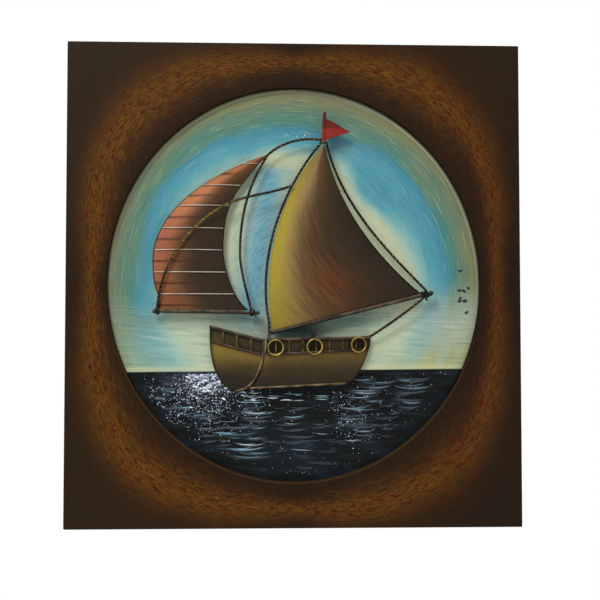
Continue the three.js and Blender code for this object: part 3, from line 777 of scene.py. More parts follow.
def rectangle_run(inset):
    """Points round the panel's outline, pulled in by an inset, from its lower left corner on."""
    radius = max(CORNER_RADIUS - inset, SHARPEST_CORNER)
    half_width = PANEL_WIDTH / 2 - inset - radius
    half_height = PANEL_HEIGHT / 2 - inset - radius
    arcs = []
    for k, (sx, sz) in enumerate([(-1, -1), (1, -1), (1, 1), (-1, 1)]):
        middle = Vector((sx * half_width, 0, sz * half_height))
        turns = [math.pi / 2 * (2 + k + step / CORNER_STEPS) for step in range(CORNER_STEPS + 1)]
        arcs.append([middle + Vector((math.cos(turn), 0, math.sin(turn))) * radius for turn in turns])
    points = []
    for arc, ahead in zip(arcs, arcs[1:] + arcs[:1]):
        points += arc + [arc[-1].lerp(ahead[0], step / SIDE_STEPS) for step in range(1, SIDE_STEPS)]
    return points


OUTLINE = rectangle_run(0)


def oval_point(turn, lap, share=1):
    """A point on an oval that laps the window's edge, or on a smaller one inside it."""
    half_width = WINDOW_WIDTH / 2 + lap
    half_height = WINDOW_HEIGHT / 2 + lap
    return Vector((half_width * share * math.cos(turn), BACKDROP_Y, half_height * share * math.sin(turn)))


def oval_run(offset):
    """Points round the window, each on the way from the middle to its point of the outline."""
    return [oval_point(math.atan2(p.z / PANEL_HEIGHT, p.x / PANEL_WIDTH), offset) for p in OUTLINE]


def level(points, y):
    return [Vector((p.x, y, p.z)) for p in points]


def surround(form):
    front = -PANEL_DEPTH
    turns = [math.pi / 2 * k / FOLD_STEPS for k in range(FOLD_STEPS + 1)]
    bends = [(FOLD_RADIUS * (1 - math.cos(turn)), FOLD_RADIUS * (1 - math.sin(turn))) for turn in turns]
    inner, outer = oval_run(FOLD_RADIUS), rectangle_run(FOLD_RADIUS)
    rows = [level(oval_run(0), BACKDROP_Y - GAP), level(oval_run(0), BACKDROP_Y - RECESS / 2)]
    rows += [level(oval_run(slow), front + fast) for slow, fast in bends]
    for ring in range(1, FRONT_RINGS):
        rows.append(level([a.lerp(b, ring / FRONT_RINGS) for a, b in zip(inner, outer)], front))
    rows += [level(rectangle_run(fast), front + slow) for slow, fast in bends]
    rows.append(level(OUTLINE, front / 2))
    rows += [level(rectangle_run(slow), -fast) for slow, fast in bends]
    rows.append(level(rectangle_run(FLANGE_WIDTH), 0))
    form.sheet([row[::-1] for row in rows], PANEL_SHEET, closed=True)


def drill(piece, places, diameter):
    """Cuts round holes through the rear flange."""
    for x, z in places:
        hole = Form()
        hole.tube([Vector((x, y, z)) for y in (-DRILL_REACH, DRILL_REACH)], diameter / 2, DRILL_SIDES)
        cutter = new_object("drill", hole.points, hole.faces)
        modifier = piece.modifiers.new("hole", "BOOLEAN")
        modifier.operation = "DIFFERENCE"
        modifier.object = cutter
        bpy.context.view_layer.update()
        evaluated = piece.evaluated_get(bpy.context.evaluated_depsgraph_get())
        cut_mesh = bpy.data.meshes.new_from_object(evaluated)
        piece.modifiers.clear()
        piece.data = cut_mesh
        bpy.data.objects.remove(cutter)


def corner_welds(form):
    """A bead of weld along the mitre of the rear flange at each corner."""
    half_width = PANEL_WIDTH / 2 - WELD_INSET
    half_height = PANEL_HEIGHT / 2 - WELD_INSET
    for sx, sz in [(-1, -1), (-1, 1), (1, -1), (1, 1)]:
        outer = Vector((sx * half_width, WELD_Y, sz * half_height))
        reach = Vector((-sx, 0, -sz)) * (FLANGE_WIDTH - WELD_END)
        points = [outer + reach * (k / WELD_STEPS) for k in range(WELD_STEPS + 1)]
        form.tube(points, lambda t: WELD_RADIUS + WELD_RIPPLE * math.sin(t * WELD_RIPPLES))


panel = make("surround_tray", surround, [SURROUND, BACK],
             ["surround_panel", "window_rim", "surround_frame"])
drill(panel, [(side * HANGING_SPACING / 2, -PANEL_MIDDLE_Z) for side in (-1, 1)], HANGING_HOLE)
make("corner_welds", corner_welds, [SOLDER])


# Backdrop: an oval sheet behind the window

DISC_RINGS = 8
DISC_STEPS = 144
DISC_MIDDLE = 0.02
TACK_COUNT = 10
TACK_INSET = 2
TACK_RISE = 1.2
TACK_RADII = (5.5, 2.8, 5.5)


def backdrop(form):
    front = []
    for ring in range(DISC_RINGS + 1):
        share = lerp(DISC_MIDDLE, 1, ring / DISC_RINGS)
        front += [oval_point(-turn, BACKDROP_LAP, share) for turn in circle(DISC_STEPS)]
    behind = [p + Vector((0, BACKDROP_SHEET, 0)) for p in front]
    total = len(front)
    rim = total - DISC_STEPS
    faces = [tuple(range(DISC_STEPS - 1, -1, -1)), tuple(range(total, total + DISC_STEPS))]
    for first in range(0, rim, DISC_STEPS):
        for quad in ring_faces(first, first + DISC_STEPS, DISC_STEPS):
            faces += [quad, tuple(total + q for q in quad[::-1])]
    looks = [0, 1] * (len(faces) // 2) + [0] * DISC_STEPS
    faces += ring_faces(rim, total + rim, DISC_STEPS)
    form.add(front + behind, faces, look=looks)


def backdrop_tacks(form):
    """Lumps of solder that hold the backdrop to the window's turned-back edge, seen from behind."""
    for k, turn in enumerate(circle(TACK_COUNT)):
        middle = oval_point(turn + math.pi / TACK_COUNT, BACKDROP_LAP - TACK_INSET)
        form.blob(middle + Vector((0, -TACK_RISE, 0)), TACK_RADII, k)


make("backdrop_sheet", backdrop, [BACKDROP, BACK], ["backdrop_disc"])
make("backdrop_tacks", backdrop_tacks, [SOLDER])


# Paint that stands on the sea

STROKE_STEPS = 8
STROKE_EDGE = 0.02
STROKE_THICKNESS = 0.28
DOT_SIDES = 6
DOT_THICKNESS = 0.35
WINDOW_MARGIN = 0.965
SEA_SEED = 11
SHORE_GAP = 2
FAR_SEA = 140
FOAM_REACH = 42
BRISTLES = 3
FOAM_DABS = 96
STERN_DABS = 34
LONG_DABS = 20
KEEL_DABS = 18
DARK_DABS = 10
SKY_FLECKS = 18
LOOSE_DOTS = 420
DOT_RADII = (0.3, 0.4, 0.5, 0.7)
LOOSE_DOT_RADII = (0.25, 0.35, 0.5)


def tints(*codes):
    return [tint(code) for code in codes]


WAVE_COLOURS = tints("181d20", "25323a", "3c5360", "698795", "a6bbc3")
SPATTER_COLOURS = tints("e9eef2", "c9d3dc", "a9b6c6", "8c93b0")
FOAM_COLOURS = tints("eef1f4", "cfd6e0", "a6abc6", "8fa8ba")
LONG_DAB_COLOURS = tints("6f9bb2", "8fb3c4", "4f7c94", "a9c4d0")
KEEL_COLOURS = tints("7fa6ac", "a9c4c8", "4d7482", "d5e2e2")

# Stacks of crests: middle of the topmost one, length, spacing, count and brightness
WAVE_STACKS = [((-168, -126), 46, 4.6, 9, 2.4), ((-118, -172), 44, 6, 6, 1.6),
               ((-60, -160), 66, 6, 12, 3.4), ((-2, -164), 50, 8.5, 6, 1),
               ((78, -160), 56, 5.6, 9, 3), ((100, -124), 52, 4.8, 7, 3.2),
               ((154, -121), 52, 4.8, 9, 2.6), ((128, -168), 44, 7, 5, 1.4)]

# Patches of flicked paint: middle, spread and count
SPATTER = [((-120, -150), (36, 24), 1100), ((78, -172), (20, 20), 190)]


def in_window(x, z):
    return (2 * x / WINDOW_WIDTH) ** 2 + (2 * z / WINDOW_HEIGHT) ** 2 < WINDOW_MARGIN ** 2


def fits(x, z, length):
    """Whether both ends of a stroke are in the window."""
    return in_window(x - length / 2, z) and in_window(x + length / 2, z)


def brush_stroke(form, x, z, length, width, bow, tilt, colour):
    """A low crescent of paint, pointed at both ends."""
    points = []
    for step in range(STROKE_STEPS + 1):
        along = step / STROKE_STEPS
        px = x + (along - 0.5) * length
        pz = z + bow * (1 - (2 * along - 1) ** 2) + tilt * (along - 0.5)
        half = width / 2 * math.sin(math.pi * clamp(along, 0.02, 0.98)) ** 0.8
        profile = [(-half, STROKE_EDGE), (0, STROKE_THICKNESS), (half, STROKE_EDGE)]
        points += [at(px, pz + rise, lift) for rise, lift in profile]
    faces = []
    for a in range(0, 3 * STROKE_STEPS, 3):
        faces += [(a, a + 3, a + 4, a + 1), (a + 1, a + 4, a + 5, a + 2)]
    form.add(points, faces, colour=colour)


def dab(form, draw, x, z, length, widths, bows, tilts, colours):
    """A brush stroke with its width, bow, tilt and colour drawn by chance."""
    drawn = [draw.uniform(*pair) for pair in (widths, bows, tilts)]
    brush_stroke(form, x, z, length, *drawn, draw.choice(colours))


def paint_dot(form, x, z, radius, colour):
    turns = circle(DOT_SIDES)
    points = [at(x + radius * math.cos(turn), z + radius * math.sin(turn), STROKE_EDGE) for turn in turns]
    points.append(at(x, z, min(radius * 0.5, DOT_THICKNESS)))
    form.add(points, [(s, (s + 1) % DOT_SIDES, DOT_SIDES) for s in range(DOT_SIDES)], colour=colour)


def near_foam(x, z):
    across = (x - FOAM_PLACE[0]) / (1.5 * FOAM_REACH)
    up = (z - FOAM_PLACE[1]) / FOAM_REACH
    return math.exp(-(across ** 2 + up ** 2))


def liveliness(x, z):
    """How many strokes a place gets: most in two bands left and right, few under the middle of the boat."""
    bands = math.exp(-((x + 110) / 70) ** 2) + 0.8 * math.exp(-((x - 95) / 60) ** 2)
    return 0.2 + 0.4 * min(bands, 1) + 0.2 * near_foam(x, z)


def wave(form, draw, x, z, length, depth, pick):
    """One crest of a few bristle marks side by side, sagging in the middle."""
    sag = -lerp(1, 4, depth) * draw.uniform(0.4, 1)
    tilt = draw.uniform(-2.2, 2.2) * depth
    for bristle in range(draw.randint(1, BRISTLES)):
        own = length * draw.uniform(0.55, 1)
        middle = x + draw.uniform(-0.2, 0.2) * length
        low = z - bristle * lerp(0.9, 1.7, depth)
        if fits(middle, low, own):
            colour = WAVE_COLOURS[int(clamp(pick - bristle * 0.7, 0, 4))]
            width = lerp(0.6, 1.3, depth) * draw.uniform(0.6, 1.3)
            brush_stroke(form, middle, low, own, width, sag, tilt, colour)


def wave_stack(form, draw, place, length, spacing, count, light):
    """A column of sagging crests, each a dim band with a bright line along its upper edge."""
    for k in range(count):
        own = length * draw.uniform(0.35, 1.05)
        x = place[0] + draw.uniform(-0.25, 0.25) * length
        z = place[1] - spacing * (k + draw.uniform(-0.3, 0.3))
        sag = -own * draw.uniform(0.05, 0.1)
        tilt = draw.uniform(-2, 2.5)
        share = draw.uniform(0.5, 0.9)
        shift = draw.uniform(-0.5, 0.5) * own * (1 - share)
        bright = clamp(light + draw.uniform(-1, 1.4), 1, 4.9)
        dim, top = WAVE_COLOURS[int(bright - 0.6)], WAVE_COLOURS[int(bright)]
        if fits(x, z - 2, own):
            brush_stroke(form, x, z - 0.9, own, draw.uniform(1.4, 2.4), sag, tilt, WAVE_COLOURS[1])
            brush_stroke(form, x, z, own, draw.uniform(0.7, 1.2), sag, tilt, dim)
            brush_stroke(form, x + shift, z + sag * 0.2, own * share, draw.uniform(0.8, 1.5), sag * share,
                         tilt * share, top)


def sea_waves(form):
    """Rows of wave crests that grow towards the viewer, and stacks of brighter ones."""
    draw = random.Random(SEA_SEED)
    z = horizon(0) - SHORE_GAP
    while z > -WINDOW_HEIGHT / 2 + 6:
        depth = clamp((horizon(0) - z) / FAR_SEA)
        length = lerp(22, 60, depth)
        x = -WINDOW_WIDTH / 2 + draw.uniform(0, length)
        while x < WINDOW_WIDTH / 2:
            own = length * draw.uniform(0.3, 1.15)
            place_z = z + draw.uniform(-1, 1) * lerp(1.2, 3.5, depth)
            if draw.random() < liveliness(x, place_z) and place_z < horizon(x) - SHORE_GAP:
                wave(form, draw, x, place_z, own, depth, draw.uniform(0.6, 2.9) + near_foam(x, place_z))
            x += own * draw.uniform(0.7, 1.2)
        z -= lerp(2.8, 6, depth)
    for stack in WAVE_STACKS:
        wave_stack(form, draw, *stack)


def sea_spatter(form):
    """Flicked white paint, thick by the stern, in a second patch at the right, and thin elsewhere."""
    draw = random.Random(SEA_SEED + 1)
    for (middle_x, middle_z), (spread_x, spread_z), count in SPATTER:
        for _ in range(count):
            x = draw.gauss(middle_x, spread_x)
            z = draw.gauss(middle_z, spread_z)
            if in_window(x, z) and z < horizon(x) - SHORE_GAP:
                paint_dot(form, x, z, draw.choice(DOT_RADII), draw.choice(SPATTER_COLOURS))
    for _ in range(SKY_FLECKS):
        paint_dot(form, draw.gauss(2, 17), draw.gauss(199, 2.4), draw.uniform(0.3, 0.6), SPATTER_COLOURS[0])
    for _ in range(LOOSE_DOTS):
        x = draw.uniform(-WINDOW_WIDTH / 2, WINDOW_WIDTH / 2)
        z = draw.uniform(-WINDOW_HEIGHT / 2, horizon(x) - 2 * SHORE_GAP)
        if in_window(x, z):
            paint_dot(form, x, z, draw.choice(LOOSE_DOT_RADII), draw.choice(SPATTER_COLOURS))


def foam_patch(form):
    """Short dabs of white and lavender by the stern, long blue ones, and teal ones under the keel."""
    draw = random.Random(SEA_SEED + 2)
    for _ in range(FOAM_DABS):
        x = FOAM_PLACE[0] + draw.gauss(5, 16)
        z = horizon(x) - 4 - abs(draw.gauss(0, 14))
        if in_window(x, z):
            dab(form, draw, x, z, draw.uniform(2.5, 8), (1.2, 3.2), (-1, 1), (-3, 3), FOAM_COLOURS)
    for _ in range(STERN_DABS):
        share = draw.random()
        x = lerp(-106, -50, share) + draw.gauss(0, 4)
        z = lerp(-127, -151, share) + draw.gauss(0, 3)
        dab(form, draw, x, z, draw.uniform(3, 8), (1.2, 2.8), (-0.5, 1.4), (-3, 1), FOAM_COLOURS)
    for _ in range(LONG_DABS):
        x = draw.uniform(-205, 40)
        z = draw.uniform(-228, -128)
        length = draw.uniform(12, 34)
        if fits(x, z, length):
            dab(form, draw, x, z, length, (0.7, 1.5), (-2.8, 0.4), (-2, 2), LONG_DAB_COLOURS)
    for _ in range(KEEL_DABS):
        x = draw.uniform(-70, 40)
        z = draw.uniform(-156, -143)
        dab(form, draw, x, z, draw.uniform(10, 24), (0.8, 1.5), (-1.8, 1.4), (-1, 1), KEEL_COLOURS)


def distant_dabs(form):
    """A few dark dabs at the right edge of the sky."""
    draw = random.Random(SEA_SEED + 3)
    for _ in range(DARK_DABS):
        x = draw.uniform(219, 235)
        z = draw.gauss(-15, 16)
        brush_stroke(form, x, z, draw.uniform(5, 9), draw.uniform(2.4, 4.6), draw.uniform(-1.6, 1.6),
                     draw.uniform(-3, 3), tint("1b2638"))


for paint_name, build in (("sea_waves", sea_waves), ("sea_spatter", sea_spatter),
                          ("sea_foam", foam_patch), ("distant_dabs", distant_dabs)):
    make(paint_name, build, [STROKES])


# Sheets of the boat

def hammered(point, seed):
    """Lets a sheet wave a little, as hand-beaten metal does."""
    place = Vector((point.x / HAMMER_SPAN, point.z / HAMMER_SPAN, seed))
    return point + Vector((0, HAMMER_DEPTH * noise.noise(place), 0))


def fullness(across, along):
    return math.sin(math.pi * across) * math.sin(math.pi * along) ** BELLY_FULLNESS


def patch(left, right, bottom, top, columns, rows):
    """A grid between four edges, each a function of 0 to 1: left and right upwards, the others rightwards."""
    grid = []
    for j in range(rows + 1):
        v = j / rows
        line = []
        for i in range(columns + 1):
            u = i / columns
            point = left(v) * (1 - u) + right(v) * u + bottom(u) * (1 - v) + top(u) * v
            point -= bottom(0) * ((1 - u) * (1 - v)) + bottom(1) * (u * (1 - v))
            point -= top(0) * ((1 - u) * v) + top(1) * (u * v)
            line.append(point)
        grid.append(line)
    return grid


def upwards(line):
    return lambda t: line.at(1 - t)


def between(a, b):
    return lambda t: a.lerp(b, t)


def ribbon(form, path, side, width, thickness):
    """A flat strip along a path, with its width along a side direction."""
    shares = (-0.5, -0.25, 0, 0.25, 0.5)
    form.sheet([[p + side * (width * share) for share in shares] for p in path], thickness, back=0)


def bent_tab(form, x, z, stand_off):
    """A strip from the back of a sheet down to the backdrop, with a flat foot."""
    path = [at(x, z + TAB_FOOT, FOOT_LIFT)]
    for turn in [math.pi / 8 * k for k in range(5)]:
        rise = FOOT_LIFT + TAB_BEND * (1 - math.cos(turn))
        path.append(at(x, z + TAB_BEND * (1 - math.sin(turn)), rise))
    path += [at(x, z, lerp(FOOT_LIFT + TAB_BEND, stand_off, k / 4)) for k in range(1, 5)]
    ribbon(form, path, Vector((1, 0, 0)), TAB_WIDTH, BOAT_SHEET)


def add_tabs(form, rows, places):
    """Tabs behind some points of a sail, each given by its row and column."""
    for j, i in places:
        point = rows[j][i]
        bent_tab(form, point.x, point.z, BACKDROP_Y - point.y - TAB_CLEARANCE)


main_boom_line = Line([[-31, -65], [39, -47.6], [109, -30.2], [179, -12.8]], MAIN_STAND_OFF)
FOOT_FROM = 0.01
FOOT_TO = 0.935


def main_foot(u):
    return main_boom_line.at(lerp(FOOT_FROM, FOOT_TO, u)) + Vector((0, 0, MAIN_BOOM_RADIUS + 2 * GAP))


def flat(point):
    return [point.x, point.z]


main_luff_edge = Line([[37.4, 182.3], [-22.7, 116.9], [-44.7, 22.3], flat(main_foot(0))], MAIN_STAND_OFF)
main_leech_edge = Line([[39.4, 182.3], [55, 103.4], [104.9, 37.4], flat(main_foot(1))], MAIN_STAND_OFF)
MAIN_COLUMNS = 39
MAIN_ROWS = 45
MAIN_TABS = [(30, 12), (12, 24)]


def main_sail(form):
    head = between(main_luff_edge.at(0), main_leech_edge.at(0))
    rows = patch(upwards(main_luff_edge), upwards(main_leech_edge), main_foot, head, MAIN_COLUMNS, MAIN_ROWS)
    for j, row in enumerate(rows):
        for i, point in enumerate(row):
            point.y -= MAIN_BELLY * fullness(i / MAIN_COLUMNS, j / MAIN_ROWS)
            row[i] = hammered(point, 1)
    form.sheet(rows, BOAT_SHEET)
    add_tabs(form, rows, MAIN_TABS)


mizzen_boom_line = Line([[-184, -36.7], [-138, -37.4], [-94, -38], [-48.5, -38.7]], MIZZEN_STAND_OFF)
MIZZEN_FOOT_Z = -34
MIZZEN_TIP_Z = 169.5
mizzen_left = Line([[-38.4, MIZZEN_TIP_Z], [-96.4, 151.2], [-186.3, 102.9], [-186.3, 29.9],
                    [-186.3, -16.1], [-176.8, -2.2], [-177.8, MIZZEN_FOOT_Z]], MIZZEN_STAND_OFF)
mizzen_right = Line([[-39, 167.4], [-77.4, 122.5], [-94, 106.1], [-94, 45.1],
                     [-94, 21.6], [-81.1, -22.8], [-60.6, MIZZEN_FOOT_Z - 1]], MIZZEN_STAND_OFF)


def share_across(x, left, right):
    return clamp((x - left) / max(right - left, 1))


def mizzen_face(x, z):
    across = share_across(x, mizzen_left.at_height(z).x, mizzen_right.at_height(z).x)
    along = clamp((z - MIZZEN_FOOT_Z) / (MIZZEN_TIP_Z - MIZZEN_FOOT_Z))
    return at(x, z, MIZZEN_STAND_OFF + MIZZEN_BELLY * fullness(across, along))


MIZZEN_COLUMNS = 30
MIZZEN_ROWS = 48
MIZZEN_TABS = [(33, 15), (9, 15)]


def mizzen_sail(form):
    foot = between(mizzen_left.at(1), mizzen_right.at(1))
    tip = between(mizzen_left.at(0), mizzen_right.at(0))
    rows = patch(upwards(mizzen_left), upwards(mizzen_right), foot, tip, MIZZEN_COLUMNS, MIZZEN_ROWS)
    rows = [[hammered(mizzen_face(p.x, p.z), 2) for p in row] for row in rows]
    form.sheet(rows, BOAT_SHEET)
    add_tabs(form, rows, MIZZEN_TABS)


make("main_sail_sheet", main_sail, [MAIN_SAIL, BACK], ["main_sail"])
make("mizzen_sail_sheet", mizzen_sail, [MIZZEN_SAIL, BACK], ["mizzen_sail"])


# Hull

KEEL_Z = -141
DECK_Z = -70
RIDGE_X = -40
BOW_X = 100
SWELL = 3
CROWN = 2.5
KEEL_SHARE = 0.62
BOW_TURN = 2.2
EDGE_FOLD = 1.1
EDGE_ROUND = 0.3 * EDGE_FOLD
TRANSOM_GRID = (22, 30)
SIDE_GRID = (48, 24)
RIM_STEPS = 40
KEEL_STEPS = 24
RIM_SIDES = 12
transom_left = Line([[-111.3, -55.3], [-113.1, -84.4], [-110.3, -127.9], [-81.4, KEEL_Z]])
transom_right = Line([[-40.5, -73.6], [-41.7, -102.2], [-47.2, -138.2], [-77.4, KEEL_Z]])
side_stern = Line([[-36.8, -72.6], [-38, -102.2], [-44.5, -131], [-61, -137.4]])
side_bottom = Line([[-61, -137.4], [-18, -135.3], [26, -133.2], [68.7, -131.1],
                    [82.8, -131.9], [103.4, -82.2], [99.9, -71]])
side_top = Line([[-36.8, -72.6], [0, -74.5], [60, -73], [98.6, -68.6]])


def flare(z):
    rise = clamp((z - KEEL_Z) / (DECK_Z - KEEL_Z))
    return lerp(KEEL_SHARE, 1, math.sin(rise * math.pi / 2))


def transom_face(x, z):
    across = share_across(x, transom_left.at_height(z).x, transom_right.at_height(z).x)
    crown = CROWN * 4 * across * (1 - across)
    return at(x, z, (lerp(STERN_STAND_OFF, RIDGE_STAND_OFF, across) + crown) * flare(z))


def side_face(x, z):
    along = clamp((x - RIDGE_X) / (BOW_X - RIDGE_X))
    breadth = lerp(RIDGE_STAND_OFF, BOW_STAND_OFF, along ** BOW_TURN)
    return at(x, z, (breadth + SWELL * math.sin(math.pi * along)) * flare(z))


def turned_back(edge, next_in):
    """Points of an edge bent back to the backdrop, from the backdrop up to the face."""
    foot = at(edge.x, edge.z, GAP)
    inwards = (next_in - edge).normalized()
    near = edge + Vector((0, EDGE_FOLD, 0))
    round_off = edge + Vector((0, EDGE_ROUND, 0)) + inwards * EDGE_ROUND
    return [foot, foot.lerp(near, 0.5), near, round_off, edge + inwards * EDGE_FOLD]


TRANSOM_TOP = [[-110, -57.4], [-43, -74.6]]
TRANSOM_LOWER = [[-109, -76.4], [-45.6, -93]]
SIDE_TOP = [[-35.6, -74], [97, -71.2]]
SIDE_LOWER = [[-34.6, -93.2], [92, -87]]
LOWER_RAIL_PAINT = 0.725
OUTLINE_STEPS = 6
OUTLINE_FADE = 1.5


def height_on(ends, x):
    (x0, z0), (x1, z1) = ends
    return lerp(z0, z1, (x - x0) / (x1 - x0))


def height_paint(rows, lower, upper, folded_foot):
    """Paint coordinates by place: along the hull, up from the keel past the lower rail to the deck, and
    how near the folded edge, which is the first rows where the foot is folded and else the first columns."""
    def coordinates(p, step):
        rail, deck = height_on(lower, p.x), height_on(upper, p.x)
        below = LOWER_RAIL_PAINT * (p.z - KEEL_Z) / (rail - KEEL_Z)
        above = LOWER_RAIL_PAINT + (1 - LOWER_RAIL_PAINT) * (p.z - rail) / (deck - rail)
        along = (p.x - RIDGE_X) / (BOW_X - RIDGE_X)
        return along, below if p.z < rail else above, clamp((OUTLINE_STEPS - step) / OUTLINE_FADE)
    paint = []
    for j, row in enumerate(rows):
        paint.append([coordinates(p, j if folded_foot else i) for i, p in enumerate(row)])
    return paint


def transom(form):
    foot = between(transom_left.at(1), transom_right.at(1))
    top = between(transom_left.at(0), transom_right.at(0))
    grid = patch(upwards(transom_left), upwards(transom_right), foot, top, *TRANSOM_GRID)
    rows = []
    for row in grid:
        face = [transom_face(p.x, p.z) for p in row]
        rows.append(turned_back(face[0], face[1]) + [hammered(p, 3) for p in face[1:]])
    form.sheet(rows, BOAT_SHEET, height_paint(rows, TRANSOM_LOWER, TRANSOM_TOP, False))
    rim = [transom_face(p.x, p.z) for p in transom_right.run(RIM_STEPS)]
    form.tube(rim, ROLLED_EDGE_RADIUS, RIM_SIDES, look=2)


KEEL_ROD = [[-57, -137.2], [66, -131.2]]


def points_on(face, ends, steps, lift):
    """Points on a sheet along a straight line from one [x, z] to another, lifted off it."""
    (x0, z0), (x1, z1) = ends
    return [face(lerp(x0, x1, k / steps), lerp(z0, z1, k / steps)) + Vector((0, -lift, 0))
            for k in range(steps + 1)]


def hull_side(form):
    stem = between(side_bottom.at(1), side_top.at(1))
    grid = patch(upwards(side_stern), stem, side_bottom.at, side_top.at, *SIDE_GRID)
    faces = [[side_face(p.x, p.z) for p in row] for row in grid]
    bent = [turned_back(edge, above) for edge, above in zip(faces[0], faces[1])]
    rows = [[column[k] for column in bent] for k in range(len(bent[0]))]
    rows += [[hammered(p, 4) for p in row] for row in faces[1:]]
    form.sheet(rows, BOAT_SHEET, height_paint(rows, SIDE_LOWER, SIDE_TOP, True))
    form.tube(points_on(side_face, KEEL_ROD, KEEL_STEPS, 0), ROLLED_EDGE_RADIUS, RIM_SIDES, look=2)


make("transom_sheet", transom, [HULL, BACK, RIM], ["transom"])
make("hull_side_sheet", hull_side, [HULL, BACK, RIM], ["hull_side"])


# Rods

BALL_SEED = 20
BALL_SIDES = 16
BALL_RINGS = 12
BOOM_STEPS = 60
BATTEN_STEPS = 24
HULL_BATTEN_STEPS = 6
RAIL_STEPS = 32
WEAR_WAVES = 9
WEAR_DEPTH = 0.03
MIZZEN_BATTEN_SHARE = 0.55


def rod_piece(node, points, radius, material, sides=12):
    make(f"{node}_rod", lambda form: form.tube(points, radius, sides), [material], [node])


def worn(radius):
    """A rod's radius that varies a little along it."""
    return lambda t: radius * (1 + WEAR_DEPTH * math.sin(t * WEAR_WAVES * 2.1) * math.sin(t * WEAR_WAVES))


def boom_piece(node, line, radius, ball_radius, ends):
    def build(form):
        form.tube(line.run(BOOM_STEPS), worn(radius), BALL_SIDES)
        for k, t in enumerate(ends):
            form.blob(line.at(t), [ball_radius] * 3, BALL_SEED + k, BALL_SIDES, BALL_RINGS)

    make(f"{node}_rod", build, [ROD], [node])


boom_piece("main_boom", main_boom_line, MAIN_BOOM_RADIUS, BOOM_BALL_RADIUS, [1])
boom_piece("mizzen_boom", mizzen_boom_line, MIZZEN_BOOM_RADIUS, MIZZEN_BALL_RADIUS, [0, 1])

MIZZEN_BATTEN_HEIGHTS = [158, 129, 102, 72.4, 43.7, 14.6, -14]
MIZZEN_BATTEN_INSET = 2
BATTEN_LIFT = BATTEN_RADIUS + 1.5 * GAP

for k, z in enumerate(MIZZEN_BATTEN_HEIGHTS):
    left_x = mizzen_left.at_height(z).x + MIZZEN_BATTEN_INSET
    right_x = mizzen_right.at_height(z).x - MIZZEN_BATTEN_INSET
    run = points_on(mizzen_face, [[left_x, z], [right_x, z]], BATTEN_STEPS, BATTEN_LIFT)
    thin = worn(BATTEN_RADIUS * MIZZEN_BATTEN_SHARE)
    rod_piece(f"mizzen_batten_{k + 1}", run, thin, BATTEN, 8)

TRANSOM_BATTENS = [-93.7, -75.9, -57.5]
SIDE_BATTENS = [-25, -7.5, 10, 27.5, 45, 62.5, 80]
RAILS = [("transom_top_rail", transom_face, TRANSOM_TOP, TOP_RAIL_RADIUS),
         ("transom_lower_rail", transom_face, TRANSOM_LOWER, LOWER_RAIL_RADIUS),
         ("side_top_rail", side_face, SIDE_TOP, TOP_RAIL_RADIUS),
         ("side_lower_rail", side_face, SIDE_LOWER, LOWER_RAIL_RADIUS)]

for node, face, ends, radius in RAILS:
    rod_piece(node, points_on(face, ends, RAIL_STEPS, radius + 2 * GAP), worn(radius), ROD)


def hull_battens(prefix, face, lower, upper, places):
    for k, x in enumerate(places):
        bottom = height_on(lower, x) + LOWER_RAIL_RADIUS + GAP
        top = height_on(upper, x) - TOP_RAIL_RADIUS - GAP
        run = points_on(face, [[x, bottom], [x, top]], HULL_BATTEN_STEPS, BATTEN_LIFT)
        rod_piece(f"{prefix}_{k + 1}", run, worn(BATTEN_RADIUS), DULL_BRASS)


hull_battens("transom_batten", transom_face, TRANSOM_LOWER, TRANSOM_TOP, TRANSOM_BATTENS)
hull_battens("side_batten", side_face, SIDE_LOWER, SIDE_TOP, SIDE_BATTENS)

RING_LIFT = 2 * TOP_RAIL_RADIUS + RING_WIRE_RADIUS + 4 * GAP
RING_STEPS = 40

for k, (x, z) in enumerate(RING_PLACES):
    across = (side_face(x + 1, z) - side_face(x - 1, z)).normalized()
    up = side_face(x, z + 1) - side_face(x, z - 1)
    outward = across.cross(up).normalized()
    upright = outward.cross(across)
    middle = side_face(x, z) + outward * RING_LIFT
    turns = circle(RING_STEPS)
    run = [middle + (across * math.cos(t) + upright * math.sin(t)) * RING_RADIUS for t in turns]
    node = f"porthole_ring_{k + 1}"

    def build(form):
        form.tube(run, RING_WIRE_RADIUS, closed=True)

    make(f"{node}_wire", build, [BRASS], [node])

POST_X = 24.3
POST_FOOT_Z = -82
POST_SEARCH_STEPS = 500
POST_STEPS = 6


def boom_post(form):
    joint = next(p for p in main_boom_line.run(POST_SEARCH_STEPS) if p.x >= POST_X)
    top = at(POST_X, joint.z - MAIN_BOOM_RADIUS - GAP, MAIN_STAND_OFF)
    foot = side_face(POST_X, POST_FOOT_Z) + Vector((0, BOAT_SHEET + 2 * GAP, 0))
    top.y -= POST_THICKNESS / 2
    path = [foot.lerp(top, k / POST_STEPS) for k in range(POST_STEPS + 1)]
    ribbon(form, path, Vector((1, 0, 0)), POST_WIDTH, POST_THICKNESS)


make("boom_post_bar", boom_post, [POST], ["boom_post"])


# Pennant: a pole and a triangle with a slight wave

pole_line = Line([[37.2, 188.2], [37.8, 200], [38.6, 212], [39.3, 224.6]], MAIN_STAND_OFF)
FLAG_TOP = (38.5, 219)
FLAG_TIP = (72.4, 200.4)
FLAG_FOOT = (38.5, 189.2)
FLAG_WAVE = 1
FLAG_REACH = 0.985
FLAG_COLUMNS = 16
POLE_STEPS = 20
POLE_SIDES = 14
FLAG_ROWS = 12
FLAG_TAB = (50, 202)


